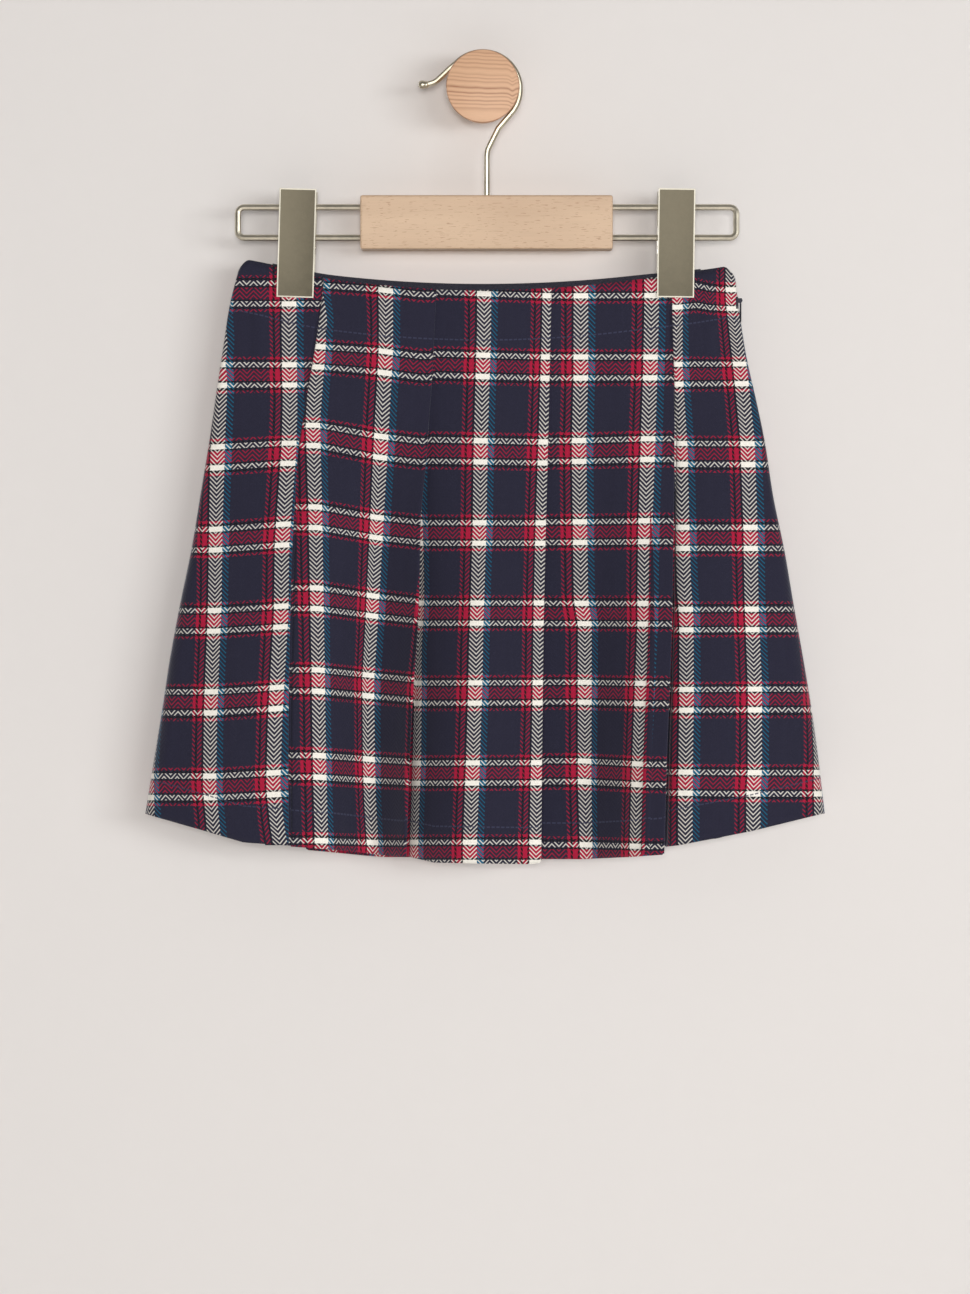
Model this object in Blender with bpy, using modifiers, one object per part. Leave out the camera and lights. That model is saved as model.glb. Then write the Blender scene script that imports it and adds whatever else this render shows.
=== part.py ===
"""A pleated skirt that hangs from a clip hanger on a round wooden wall peg.

Metres, +Z up, +X to the viewer's right, and the viewer looks along +Y.
The origin is the middle of the peg's flat back, so the wall is the plane Y = 0,
and everything stands out from it towards -Y.

The cloth is worked out in plan, level by level. At each level a path runs along the
middle of the cloth from one side seam to the next, round each knife pleat, and the
levels are lofted into a wall of cloth. A place in plan is an across and an out:
millimetres from the middle line, and millimetres in front of the hanging plane.
The back panels use the same paths turned half round.
"""

import math
from collections import namedtuple

import bmesh
import bpy
from mathutils import Matrix, Vector

MM = 0.001
OBJECT_NAME = "Pleated skirt on clip hanger"

# Cloth and seams, in millimetres
CLOTH = 1.0
LAYER = 1.4            # from the middle of one pressed layer to the middle of the next
SEAM_GAP = 0.3
NEAR = 4.5             # a layer is laid clear of what is in front of it for this far around
PLEAT_DEPTH = 33.0     # cloth folded under at the two middle pleats
SIDE_PLEAT_TOP = 3.0   # cloth folded under at the side front pleats, at the waist
SIDE_PLEAT_HEM = 25.0  # and at the hem
LEAST_REACH = 0.4      # share of a pleat's depth that always reaches sideways
RETURN_SHARES = (0.14, 0.35, 0.57, 0.79, 1.0)  # points along the layer behind a fold
UNDER_SHARES = (0.2, 0.4, 0.6, 0.8)            # and along the one that runs on to the next panel
FACING_HEIGHT = 26.0
FACING_REACH = 0.93    # share of the back width where the facing ends, at each side
CREASE_ANGLE = 50.0    # degrees above which an edge of the cloth is drawn sharp

# Places, in millimetres from the wall or down from the middle of the peg
HANG_PLANE = 32.0      # the hanger, the facing and both side seams lie in this plane
WAIST_MIDDLE = 117.7   # waist edge at the middle of the front
WAIST_RISE = 16.3      # how much higher the waist edge is at the sides
BACK_MIDDLE = 114.9    # waist edge at the middle of the back
BACK_RISE = 13.5
HEM_MIDDLE = 448.9     # hem at the middle
HEM_RISE = 27.8        # how much higher the hem is at the sides
CORNER_START = 0.95    # share of the half width where the waist corners round off
CORNER_DROP = 9.0
MOUTH = 7.0            # how far the slack front edge bows out between the clips
MOUTH_HALF = 88.0
MOUTH_FADE = 0.3       # share of the length where that bow has gone

# Each level: share of the length below the waist, across of the left side edge, of
# the four front folds and of the right side edge, and how far the pleats stand open.
Level = namedtuple("Level", "share side_left fold_a fold_b fold_c fold_d side_right open")
LEVELS = [
    Level(0.00, -142.3, -92.5, -27.0, 39.6, 109.2, 145.4, 0.00),
    Level(0.06, -146.9, -94.7, -28.0, 39.2, 109.7, 146.9, 0.00),
    Level(0.14, -150.7, -98.7, -29.3, 38.6, 110.3, 152.1, 0.03),
    Level(0.22, -154.7, -103.2, -31.2, 38.0, 110.9, 157.9, 0.10),
    Level(0.30, -158.8, -107.0, -33.1, 37.4, 110.9, 164.1, 0.22),
    Level(0.40, -164.0, -109.2, -36.4, 36.5, 110.6, 168.9, 0.40),
    Level(0.50, -169.2, -110.9, -37.2, 35.7, 110.0, 175.3, 0.58),
    Level(0.60, -175.6, -111.8, -38.5, 35.0, 109.4, 180.5, 0.74),
    Level(0.70, -181.4, -112.4, -40.8, 34.6, 108.3, 185.9, 0.87),
    Level(0.80, -186.1, -112.8, -42.8, 34.2, 106.8, 190.9, 0.95),
    Level(0.90, -191.1, -112.8, -44.0, 33.9, 105.8, 195.0, 1.00),
    Level(1.00, -195.9, -112.6, -45.1, 33.6, 104.9, 198.5, 1.00),
]

# How far each panel stands out, at shares of its visible width from left to right:
# at the waist, where the pleats are pressed flat, and at the hem of front and back.
Stand = namedtuple("Stand", "across waist front_hem back_hem")
STANDS = {
    "side_left": [
        Stand(0.00, 2.2, 12.0, 14.0),
        Stand(0.20, 2.9, 17.0, 17.0),
        Stand(0.45, 3.6, 22.0, 20.0),
        Stand(0.75, 4.2, 26.5, 22.0),
        Stand(1.00, 4.4, 28.0, 23.0),
    ],
    "first_pleat": [
        Stand(0.02, 1.4, 24.4, 18.5),
        Stand(0.12, 2.3, 25.0, 19.5),
        Stand(0.25, 3.6, 24.8, 19.5),
        Stand(0.40, 4.5, 21.0, 17.5),
        Stand(0.54, 4.5, 12.0, 14.0),
        Stand(0.70, 4.5, 6.0, 11.5),
        Stand(0.85, 4.5, 14.0, 15.0),
        Stand(1.00, 4.4, 26.0, 21.0),
    ],
    "second_pleat": [
        Stand(0.02, 1.4, 3.5, 10.5),
        Stand(0.12, 2.3, 11.5, 14.5),
        Stand(0.26, 3.6, 21.0, 19.0),
        Stand(0.42, 4.5, 28.0, 22.0),
        Stand(0.60, 4.6, 30.0, 23.5),
        Stand(0.80, 4.6, 30.5, 24.0),
        Stand(1.00, 4.4, 31.0, 24.0),
    ],
    "third_pleat": [
        Stand(0.02, 1.4, 1.0, 9.5),
        Stand(0.22, 2.3, 2.0, 10.5),
        Stand(0.42, 3.3, 5.0, 12.5),
        Stand(0.57, 4.0, 14.0, 16.5),
        Stand(0.77, 4.4, 26.0, 22.0),
        Stand(1.00, 4.4, 33.0, 25.0),
    ],
    "side_right": [
        Stand(0.03, 1.4, 14.0, 14.5),
        Stand(0.25, 1.6, 18.0, 17.0),
        Stand(0.52, 1.8, 18.0, 18.0),
        Stand(0.77, 2.0, 15.5, 17.0),
        Stand(1.00, 2.2, 11.0, 14.0),
    ],
}

# The edges of each panel, as they are named in the levels
PANEL_EDGES = {
    "side_left": ("side_left", "fold_a"),
    "first_pleat": ("fold_a", "fold_b"),
    "second_pleat": ("fold_b", "fold_c"),
    "third_pleat": ("fold_c", "fold_d"),
    "side_right": ("fold_d", "side_right"),
}

# How far the inner fold behind each front fold stands out
Inner = namedtuple("Inner", "waist front_hem back_hem")
INNER_FOLDS = {
    "fold_a": Inner(1.4, 21.5, 15.5),
    "fold_b": Inner(1.4, -1.0, 8.0),
    "fold_c": Inner(1.4, -1.5, 8.0),
    "fold_d": Inner(1.4, 11.0, 12.5),
}

# Side rolls, where front and back meet: width at the waist and at the hem, and how
# far the seam lies behind the hanging plane at the hem
ROLL_WAIST = 3.0
ROLL_HEM = 13.0
SEAM_BACK = 1.0
ROLL_ANGLES = (0.0, 20.0, 42.0, 66.0)

# Wall peg
PEG_NECK_RADIUS = 19.7
PEG_HEAD_RADIUS = 21.3
PEG_NECK = 34.3
PEG_HEAD = 11.0
PEG_CHAMFER = 0.8
PEG_STEPS = 64

# Hanger: wooden bar, wire rail and hook
BAR_LEFT = -71.2
BAR_RIGHT = 75.5
BAR_TOP = 62.3
BAR_HEIGHT = 31.3
BAR_DEPTH = 14.0
BAR_ROUND = 1.2
WIRE = 3.6
RAIL_TOP = 68.7
RAIL_BOTTOM = 86.4
RAIL_LEFT = -142.6
RAIL_RIGHT = 147.6
RAIL_CORNER = 3.6
RAIL_HOLE = 4.2
HOOK_WIRE = 3.4
HOOK_RADIUS = 21.75
HOOK_START = -36.0     # degrees round the peg where the shank joins the bend
HOOK_END = 136.0       # and where the bend runs out into the tip
# The shank as across and up: straight, then an elbow towards the bend round the peg
SHANK = [(2.4, -48.0), (2.4, -39.0), (2.8, -35.6), (4.4, -32.0), (9.0, -22.8)]
TIP = [(-19.8, 11.6), (-24.4, 7.2), (-28.2, 4.1), (-33.1, 2.7)]
TIP_BALL = 2.1

# Clips: middle of each, and the pressed plates that grip the waist
CLIP_MIDDLES = {"left": -106.9, "right": 112.3}
CLIP_WIDTH = 21.4
CLIP_TOP = 59.5
CLIP_HEIGHT = 63.0
CLIP_PLATE = 1.2
JAW_HALF = 5.2         # from the hanging plane to the inside of each jaw
CLIP_SPREAD = 2.0      # how much further out the plates are at their tops
EAR = 1.0
EAR_TOP = 80.6
EAR_STEP = 89.2
EAR_BOTTOM = 96.5
EAR_ROOT = 0.6         # how deep an ear runs into its plate
EAR_SLOPE = 2.0
EAR_LOBE = 2.6
PIN_DOWN = 92.8
PIN_RADIUS = 1.1
PIN_PROUD = 0.4        # beyond the clip at each end
CUTTER_EXTRA = 2.0     # that a drill runs past each face

# Zip slider and its pull tab, at the top of the right side seam
ZIP_DOWN = 123.0       # the axis the pull swings about
SLIDER_ABOVE = 2.0     # how much of the slider is above that axis
SLIDER_HEIGHT = 7.0
SLIDER_WIDTH = 5.0
SLIDER_DEPTH = 1.3
SLIDER_ROUND = 0.3
LUG = 1.0
LUG_HALF = 1.2
LUG_REACH = 0.7        # beyond the axis
EYE_RADIUS = 1.2
EYE_WIDTH = 1.8
EYE_HOLE = 0.8
BRIDGE_RADIUS = 0.45
TAB_LENGTH = 12.6
TAB_WIDTH = 3.4
TAB_THICK = 0.9
TAB_ROUND = 0.4
STEM_INSET = 0.15
STEM_OVERLAP = 0.8     # how far the stem runs into the eye and into the tab


def clear_scene():
    for old in list(bpy.data.objects):
        bpy.data.objects.remove(old, do_unlink=True)


def make_collection(name):
    collection = bpy.data.collections.new(name)
    bpy.context.scene.collection.children.link(collection)
    return collection


def make_material(name, colour, roughness, metallic=0.0):
    material = bpy.data.materials.new(name)
    material.use_nodes = True
    shader = material.node_tree.nodes["Principled BSDF"]
    shader.inputs["Base Color"].default_value = (*colour, 1.0)
    shader.inputs["Roughness"].default_value = roughness
    shader.inputs["Metallic"].default_value = metallic
    material.diffuse_color = (*colour, 1.0)
    return material


def add_object(name, data, collection, material=None):
    made = bpy.data.objects.new(name, data)
    collection.objects.link(made)
    if material is not None:
        made.data.materials.append(material)
    return made


def mesh_from(bm, name):
    mesh = bpy.data.meshes.new(name)
    bm.to_mesh(mesh)
    bm.free()
    return mesh


def place(across, out, down):
    """A point in metres from across, out from the hanging plane, and down."""
    return Vector((across * MM, -(HANG_PLANE + out) * MM, -down * MM))


def mix(a, b, share):
    return a + (b - a) * share


# Cloth in plan


def turned(level):
    """The same level as the back sees it, turned half round."""
    return level._replace(side_left=-level.side_right, side_right=-level.side_left)


def mouth_bow(across, level):
    """How far the slack waist edge bows out at this place."""
    if abs(across) > MOUTH_HALF or level.share > MOUTH_FADE:
        return 0.0
    fade = (1.0 - level.share / MOUTH_FADE) ** 2
    return MOUTH * fade * (1.0 - (across / MOUTH_HALF) ** 2) ** 2


def stand_out(row, level, face):
    hem = row.front_hem if face == "front" else row.back_hem
    return mix(row.waist, hem, level.open)


def pleat_length(fold, level):
    if fold in ("fold_b", "fold_c"):
        return PLEAT_DEPTH
    return mix(SIDE_PLEAT_TOP, SIDE_PLEAT_HEM, level.share)


def reach_of(panel, level):
    """Across of a panel's left edge and of the point where its right fold starts to turn."""
    roll = CLOTH / 2.0 + mix(ROLL_WAIST, ROLL_HEM, level.open)
    left, right = PANEL_EDGES[panel]
    start = level.side_left + roll if left == "side_left" else getattr(level, left)
    end = level.side_right - roll if right == "side_right" else getattr(level, right) - LAYER / 2.0
    return start, end


def visible_points(panel, level, face):
    """Points along the visible width of a panel, left to right."""
    left, right = reach_of(panel, level)
    return [
        (mix(left, right, row.across), stand_out(row, level, face))
        for row in STANDS[panel]
    ]


def out_at(points, across):
    """How far out a layer lies, read between its points."""
    ordered = sorted(points)
    if across <= ordered[0][0]:
        return ordered[0][1]
    for a, b in zip(ordered, ordered[1:]):
        if across <= b[0]:
            return mix(a[1], b[1], (across - a[0]) / max(b[0] - a[0], 0.001))
    return ordered[-1][1]


def behind(points, across):
    """The furthest out that the next layer may lie behind this one, hollows near by included."""
    near = (across - NEAR, across, across + NEAR)
    return min(out_at(points, place_near) for place_near in near) - LAYER


def heading(a, b):
    return math.atan2(b[1] - a[1], b[0] - a[0])


def turn_points(start, heading_in, heading_out, side, steps=4):
    """Arc of half a layer's radius from one heading to another: side is 1 for left, -1 for right."""
    radius = LAYER / 2.0
    centre = (
        start[0] - side * radius * math.sin(heading_in),
        start[1] + side * radius * math.cos(heading_in),
    )
    sweep = (heading_out - heading_in) % (2.0 * math.pi)
    if side < 0:
        sweep -= 2.0 * math.pi
    points = []
    for step in range(1, steps + 1):
        angle = heading_in + sweep * step / steps
        points.append((
            centre[0] + side * radius * math.sin(angle),
            centre[1] - side * radius * math.cos(angle),
        ))
    return points


def layer_behind(layer, start, goal, shares):
    """Points from start to goal, straight, but always clear of the layer in front."""
    points = []
    for share in shares:
        across = mix(start[0], goal[0], share)
        points.append((across, min(mix(start[1], goal[1], share), behind(layer, across))))
    return points


def fold_under(panel, level, face):
    """The fold at a panel's right edge and the layer that runs back behind it."""
    top = visible_points(panel, level, face)
    tip = top[-1]
    arriving = heading(top[-2], tip)
    fold = PANEL_EDGES[panel][1]
    out = stand_out(INNER_FOLDS[fold], level, face)
    length = pleat_length(fold, level)
    drop = tip[1] - LAYER - out
    reach = math.sqrt(max(length ** 2 - drop ** 2, (LEAST_REACH * length) ** 2))
    goal = (tip[0] - reach, out + LAYER)
    start = (tip[0] + LAYER * math.sin(arriving), tip[1] - LAYER * math.cos(arriving))
    back = layer_behind(top, start, goal, RETURN_SHARES)
    arc_points = turn_points(tip, arriving, heading(start, back[0]), side=-1)
    return arc_points + back


def run_under(back, goal, seam):
    """The layer that runs under a fold to the next panel, round the inner fold or from a seam."""
    end = back[-1]
    start = (end[0], end[1] - LAYER)
    under = layer_behind(back, start, goal, UNDER_SHARES)
    if seam:
        return [start] + under
    return turn_points(end, heading(back[-2], end), heading(start, under[0]), side=1) + under


def side_roll(edge, inward, first, level, face):
    """Quarter roll from a side seam up to the first point of a side panel."""
    seam = SEAM_BACK * level.open * (-1.0 if face == "front" else 1.0)
    start = edge + inward * CLOTH / 2.0
    width = mix(ROLL_WAIST, ROLL_HEM, level.open)
    points = []
    for angle in ROLL_ANGLES:
        turn = math.radians(angle)
        points.append((
            start + inward * width * (1.0 - math.cos(turn)),
            seam + SEAM_GAP / 2.0 + (first - seam - SEAM_GAP / 2.0) * math.sin(turn),
        ))
    return points


def side_left_path(level, face):
    top = visible_points("side_left", level, face)
    roll = side_roll(level.side_left, 1.0, top[0][1], level, face)
    return roll + top + fold_under("side_left", level, face)


def centre_path(level, face):
    back = fold_under("side_left", level, face)
    path = []
    for panel in ("first_pleat", "second_pleat", "third_pleat"):
        top = visible_points(panel, level, face)
        path += run_under(back, top[0], seam=not path) + top
        back = fold_under(panel, level, face)
        path += back
    return path


def side_right_path(level, face):
    back = fold_under("third_pleat", level, face)
    top = visible_points("side_right", level, face)
    roll = side_roll(level.side_right, -1.0, top[-1][1], level, face)
    return run_under(back, top[0], seam=True) + top + roll[::-1]


def waist_down(across, level, face):
    half = level.side_right if across > 0.0 else -level.side_left
    share = min(abs(across) / half, 1.0)
    middle, rise = (WAIST_MIDDLE, WAIST_RISE) if face == "front" else (BACK_MIDDLE, BACK_RISE)
    corner = max(share - CORNER_START, 0.0) / (1.0 - CORNER_START)
    return middle - rise * share ** 2 + CORNER_DROP * corner ** 2


def hem_down(across, level):
    half = level.side_right if across > 0.0 else -level.side_left
    return HEM_MIDDLE - HEM_RISE * min(abs(across) / half, 1.0) ** 2


def cloth_point(point, level, face):
    """World place of a plan point at its level: the back is the front turned half round."""
    across, out = point
    if face == "front":
        out += mouth_bow(across, level)
    top = waist_down(across, level, face)
    down = mix(top, hem_down(across, level), level.share)
    if face == "back":
        across, out = -across, -out
    return place(across, out, down)


def wall_mesh(name, rows):
    """Quad grid through rows of points, each row with the same number of points."""
    bm = bmesh.new()
    grid = [[bm.verts.new(point) for point in row] for row in rows]
    for upper, lower in zip(grid, grid[1:]):
        for column in range(len(upper) - 1):
            bm.faces.new((upper[column], lower[column], lower[column + 1], upper[column + 1]))
    return mesh_from(bm, name)


def add_wall(name, rows, collection, material):
    wall = add_object(name, wall_mesh(name, rows), collection, material)
    thick = wall.modifiers.new("Cloth", "SOLIDIFY")
    thick.thickness = CLOTH * MM
    thick.offset = 0.0
    wall.data.shade_smooth()
    wall.data.set_sharp_from_angle(angle=math.radians(CREASE_ANGLE))
    return wall


def add_panels(collection, material):
    paths = {
        "side_left": side_left_path,
        "centre": centre_path,
        "side_right": side_right_path,
    }
    backs = {"side_left": "side_right", "centre": "centre", "side_right": "side_left"}
    for piece, path in paths.items():
        rows = [
            [cloth_point(point, level, "front") for point in path(level, "front")]
            for level in LEVELS
        ]
        add_wall("front_" + piece, rows, collection, material)
        rows = [
            [cloth_point(point, turned(level), "back") for point in path(turned(level), "back")]
            for level in LEVELS
        ]
        add_wall("back_" + backs[piece], rows, collection, material)


def add_facing(collection, material):
    """Plain strip inside the back of the waist, seen above the slack front edge."""
    level = turned(LEVELS[0])
    columns = 15
    rows = []
    for depth in (SEAM_GAP, FACING_HEIGHT / 2.0, FACING_HEIGHT):
        row = []
        for column in range(columns):
            share = column / (columns - 1)
            across = mix(-level.side_right, -level.side_left, mix(1.0 - FACING_REACH, FACING_REACH, share))
            row.append(place(across, 0.0, waist_down(-across, level, "back") + depth))
        rows.append(row)
    return add_wall("waist_facing", rows, collection, material)


# Peg, hanger and clips


def add_peg(collection, material):
    """Turned peg: a profile spun round its axis, which runs out from the wall."""
    profile = [
        (0.0, PEG_NECK + PEG_HEAD),
        (PEG_HEAD_RADIUS - PEG_CHAMFER, PEG_NECK + PEG_HEAD),
        (PEG_HEAD_RADIUS, PEG_NECK + PEG_HEAD - PEG_CHAMFER),
        (PEG_HEAD_RADIUS, PEG_NECK),
        (PEG_NECK_RADIUS, PEG_NECK),
        (PEG_NECK_RADIUS, 0.0),
        (0.0, 0.0),
    ]
    bm = bmesh.new()
    verts = [bm.verts.new((radius * MM, 0.0, out * MM)) for radius, out in profile]
    for a, b in zip(verts, verts[1:]):
        bm.edges.new((a, b))
    peg = add_object("wall_peg", mesh_from(bm, "wall_peg"), collection, material)
    peg.rotation_euler = (math.radians(90.0), 0.0, 0.0)
    spin = peg.modifiers.new("Turn", "SCREW")
    spin.axis = "Z"
    spin.steps = PEG_STEPS
    spin.render_steps = PEG_STEPS
    spin.use_merge_vertices = True
    spin.merge_threshold = 0.00001
    return peg


def add_box(name, low, high, collection, material=None, round_by=0.0):
    """Box between two corners, with its scale in its mesh."""
    bm = bmesh.new()
    bmesh.ops.create_cube(bm, size=1.0)
    size = high - low
    bmesh.ops.scale(bm, vec=size, verts=bm.verts)
    box = add_object(name, mesh_from(bm, name), collection, material)
    box.location = (low + high) / 2.0
    if round_by:
        bevel = box.modifiers.new("Rounded edges", "BEVEL")
        bevel.width = round_by * MM
        bevel.segments = 2
    return box


def corners(across_a, out_a, down_a, across_b, out_b, down_b):
    """Lowest and highest corner of a box given by two opposite places."""
    a = place(across_a, out_a, down_a)
    b = place(across_b, out_b, down_b)
    return Vector(map(min, a, b)), Vector(map(max, a, b))


def add_rod_cutter(name, radius, length, middle, axis, collection):
    bm = bmesh.new()
    bmesh.ops.create_cone(
        bm, cap_ends=True, segments=24, radius1=radius * MM, radius2=radius * MM, depth=length * MM
    )
    quarter = math.radians(90.0)
    spin = Matrix.Rotation(quarter, 3, "Y") if axis == "X" else Matrix.Rotation(quarter, 3, "X")
    bmesh.ops.rotate(bm, verts=bm.verts, matrix=spin, cent=(0.0, 0.0, 0.0))
    cutter = add_object(name, mesh_from(bm, name), collection)
    cutter.location = middle
    hide_guide(cutter)
    return cutter


def hide_guide(guide):
    guide.hide_render = True
    guide.display_type = "WIRE"


def join_by_boolean(target, tool, operation):
    change = target.modifiers.new(tool.name, "BOOLEAN")
    change.object = tool
    change.operation = operation
    change.solver = "EXACT"


def add_bar(collection, cutters, material):
    low, high = corners(
        BAR_LEFT, -BAR_DEPTH / 2.0, BAR_TOP, BAR_RIGHT, BAR_DEPTH / 2.0, BAR_TOP + BAR_HEIGHT
    )
    bar = add_box("hanger_bar", low, high, collection, material, BAR_ROUND)
    middle = (BAR_LEFT + BAR_RIGHT) / 2.0
    for label, down in (("upper", RAIL_TOP), ("lower", RAIL_BOTTOM)):
        drill = add_rod_cutter(
            "rail_hole_" + label, RAIL_HOLE / 2.0, BAR_RIGHT - BAR_LEFT + 2.0 * CUTTER_EXTRA,
            place(middle, 0.0, down), "X", cutters
        )
        join_by_boolean(bar, drill, "DIFFERENCE")
    return bar


def add_wire(name, points, radius, collection, material, closed=False, detail=2):
    curve = bpy.data.curves.new(name, "CURVE")
    curve.dimensions = "3D"
    curve.bevel_depth = radius * MM
    curve.bevel_resolution = detail
    curve.use_fill_caps = not closed
    spline = curve.splines.new("POLY")
    spline.points.add(len(points) - 1)
    for control, point in zip(spline.points, points):
        control.co = (*point, 1.0)
    spline.use_cyclic_u = closed
    return add_object(name, curve, collection, material)


def arc(centre, radius, start, end, steps):
    """Points of an arc in the hanging plane, angles in degrees, both ends included."""
    points = []
    for step in range(steps + 1):
        angle = math.radians(mix(start, end, step / steps))
        points.append((centre[0] + radius * math.cos(angle), centre[1] + radius * math.sin(angle)))
    return points


def add_rail(collection, material):
    """One closed loop of wire, through both holes of the bar."""
    left = RAIL_LEFT + RAIL_CORNER
    right = RAIL_RIGHT - RAIL_CORNER
    top = -RAIL_TOP - RAIL_CORNER
    bottom = -RAIL_BOTTOM + RAIL_CORNER
    loop = arc((right, top), RAIL_CORNER, 90.0, 0.0, 4)
    loop += arc((right, bottom), RAIL_CORNER, 0.0, -90.0, 4)
    loop += arc((left, bottom), RAIL_CORNER, -90.0, -180.0, 4)
    loop += arc((left, top), RAIL_CORNER, 180.0, 90.0, 4)
    points = [place(across, 0.0, -up) for across, up in loop]
    return add_wire("hanger_rail", points, WIRE / 2.0, collection, material, closed=True)


def smooth_route(points, steps):
    """Points read from a smooth curve through a few places."""
    padded = [points[0], *points, points[-1]]
    route = []
    for first, a, b, last in zip(padded, padded[1:], padded[2:], padded[3:]):
        for step in range(steps):
            s = step / steps
            route.append(tuple(
                0.5 * (
                    2.0 * a[k] + (b[k] - first[k]) * s
                    + (2.0 * first[k] - 5.0 * a[k] + 4.0 * b[k] - last[k]) * s * s
                    + (3.0 * a[k] - first[k] - 3.0 * b[k] + last[k]) * s ** 3
                )
                for k in range(2)
            ))
    route.append(points[-1])
    return route


def hook_route():
    """The shank up from the bar, round the peg's neck and out to the tip, as across and up."""
    bend = arc((0.0, 0.0), HOOK_RADIUS, HOOK_START, HOOK_END, 26)
    foot = (SHANK[0][0], -BAR_TOP + SEAM_GAP)
    return [foot, *SHANK] + bend + smooth_route(TIP, 3)


def add_hook(collection, cutters, material):
    points = [place(across, 0.0, -up) for across, up in hook_route()]
    wire = add_wire("hook_wire", points, HOOK_WIRE / 2.0, cutters, material, detail=3)
    mesh = bpy.data.meshes.new_from_object(wire.evaluated_get(bpy.context.evaluated_depsgraph_get()))
    bm = bmesh.new()
    bm.from_mesh(mesh)
    bmesh.ops.remove_doubles(bm, verts=bm.verts, dist=0.000001)
    bmesh.ops.recalc_face_normals(bm, faces=bm.faces)
    bm.to_mesh(mesh)
    bm.free()
    bpy.data.objects.remove(wire, do_unlink=True)
    mesh.materials.clear()
    hook = add_object("hanger_hook", mesh, collection, material)
    ball = bmesh.new()
    bmesh.ops.create_uvsphere(ball, u_segments=16, v_segments=10, radius=TIP_BALL * MM)
    tip = add_object("hook_tip", mesh_from(ball, "hook_tip"), cutters)
    tip.location = points[-1]
    hide_guide(tip)
    join_by_boolean(hook, tip, "UNION")
    return hook


def extrude_outline(name, outline, width, collection):
    """Plate with an outline in out and down, as wide as given, across its object's middle."""
    bm = bmesh.new()
    base = [bm.verts.new(place(-width / 2.0, out, down)) for out, down in outline]
    face = bm.faces.new(base)
    grown = bmesh.ops.extrude_face_region(bm, geom=[face])
    moved = [item for item in grown["geom"] if isinstance(item, bmesh.types.BMVert)]
    bmesh.ops.translate(bm, verts=moved, vec=(width * MM, 0.0, 0.0))
    bmesh.ops.recalc_face_normals(bm, faces=bm.faces)
    return add_object(name, mesh_from(bm, name), collection)


def clip_plate_outline(facing):
    """Side view of a jaw plate: upright over the cloth, leaning out to its top."""
    inside = JAW_HALF
    grip = CLIP_TOP + CLIP_HEIGHT
    lean_from = EAR_BOTTOM
    tops = JAW_HALF + CLIP_SPREAD
    outline = [
        (inside, grip),
        (inside, lean_from),
        (tops, CLIP_TOP),
        (tops + CLIP_PLATE, CLIP_TOP),
        (inside + CLIP_PLATE, lean_from),
        (inside + CLIP_PLATE, grip),
    ]
    return [(facing * out, down) for out, down in outline]


def clip_ear_outline(facing):
    """Side view of an ear: it clears the lower rail, then reaches past the pin."""
    rod = WIRE / 2.0 + SEAM_GAP
    root = JAW_HALF + EAR_ROOT
    outline = [
        (root, EAR_TOP),
        (rod, EAR_TOP + EAR_SLOPE),
        (rod, EAR_STEP),
        (-EAR_LOBE, EAR_STEP),
        (-EAR_LOBE, EAR_BOTTOM),
        (root, EAR_BOTTOM),
    ]
    return [(facing * out, down) for out, down in outline]


def add_clip(side, middle, collection, cutters, material):
    shift = Vector((middle * MM, 0.0, 0.0))
    pin_place = place(middle, 0.0, PIN_DOWN)
    for name, facing, inset in (("front", 1.0, 0.0), ("back", -1.0, EAR + SEAM_GAP)):
        node = "clip_%s_%s" % (side, name)
        plate = extrude_outline(node, clip_plate_outline(facing), CLIP_WIDTH, collection)
        plate.data.materials.append(material)
        plate.location = shift
        for end in (-1.0, 1.0):
            ear = extrude_outline(
                "%s_ear_%d" % (node, end + 1), clip_ear_outline(facing), EAR, cutters
            )
            edge = (CLIP_WIDTH - EAR) / 2.0 - inset
            ear.location = shift + Vector((end * edge * MM, 0.0, 0.0))
            hide_guide(ear)
            join_by_boolean(plate, ear, "UNION")
        hole = add_rod_cutter(
            node + "_pin_hole", PIN_RADIUS + SEAM_GAP, CLIP_WIDTH + 2.0 * CUTTER_EXTRA, pin_place, "X", cutters
        )
        join_by_boolean(plate, hole, "DIFFERENCE")
    bm = bmesh.new()
    bmesh.ops.create_cone(
        bm, cap_ends=True, segments=20, radius1=PIN_RADIUS * MM, radius2=PIN_RADIUS * MM,
        depth=(CLIP_WIDTH + 2.0 * PIN_PROUD) * MM
    )
    bmesh.ops.rotate(
        bm, verts=bm.verts, matrix=Matrix.Rotation(math.radians(90.0), 3, "Y"), cent=(0, 0, 0)
    )
    pin_name = "clip_%s_pin" % side
    pin = add_object(pin_name, mesh_from(bm, pin_name), collection, material)
    pin.location = pin_place


# Zip


def zip_places():
    """Across of the slider's inner face and of the axis of its pull."""
    inner = LEVELS[1].side_right + SEAM_GAP
    return inner, inner + SLIDER_DEPTH + SEAM_GAP + EYE_RADIUS


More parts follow.
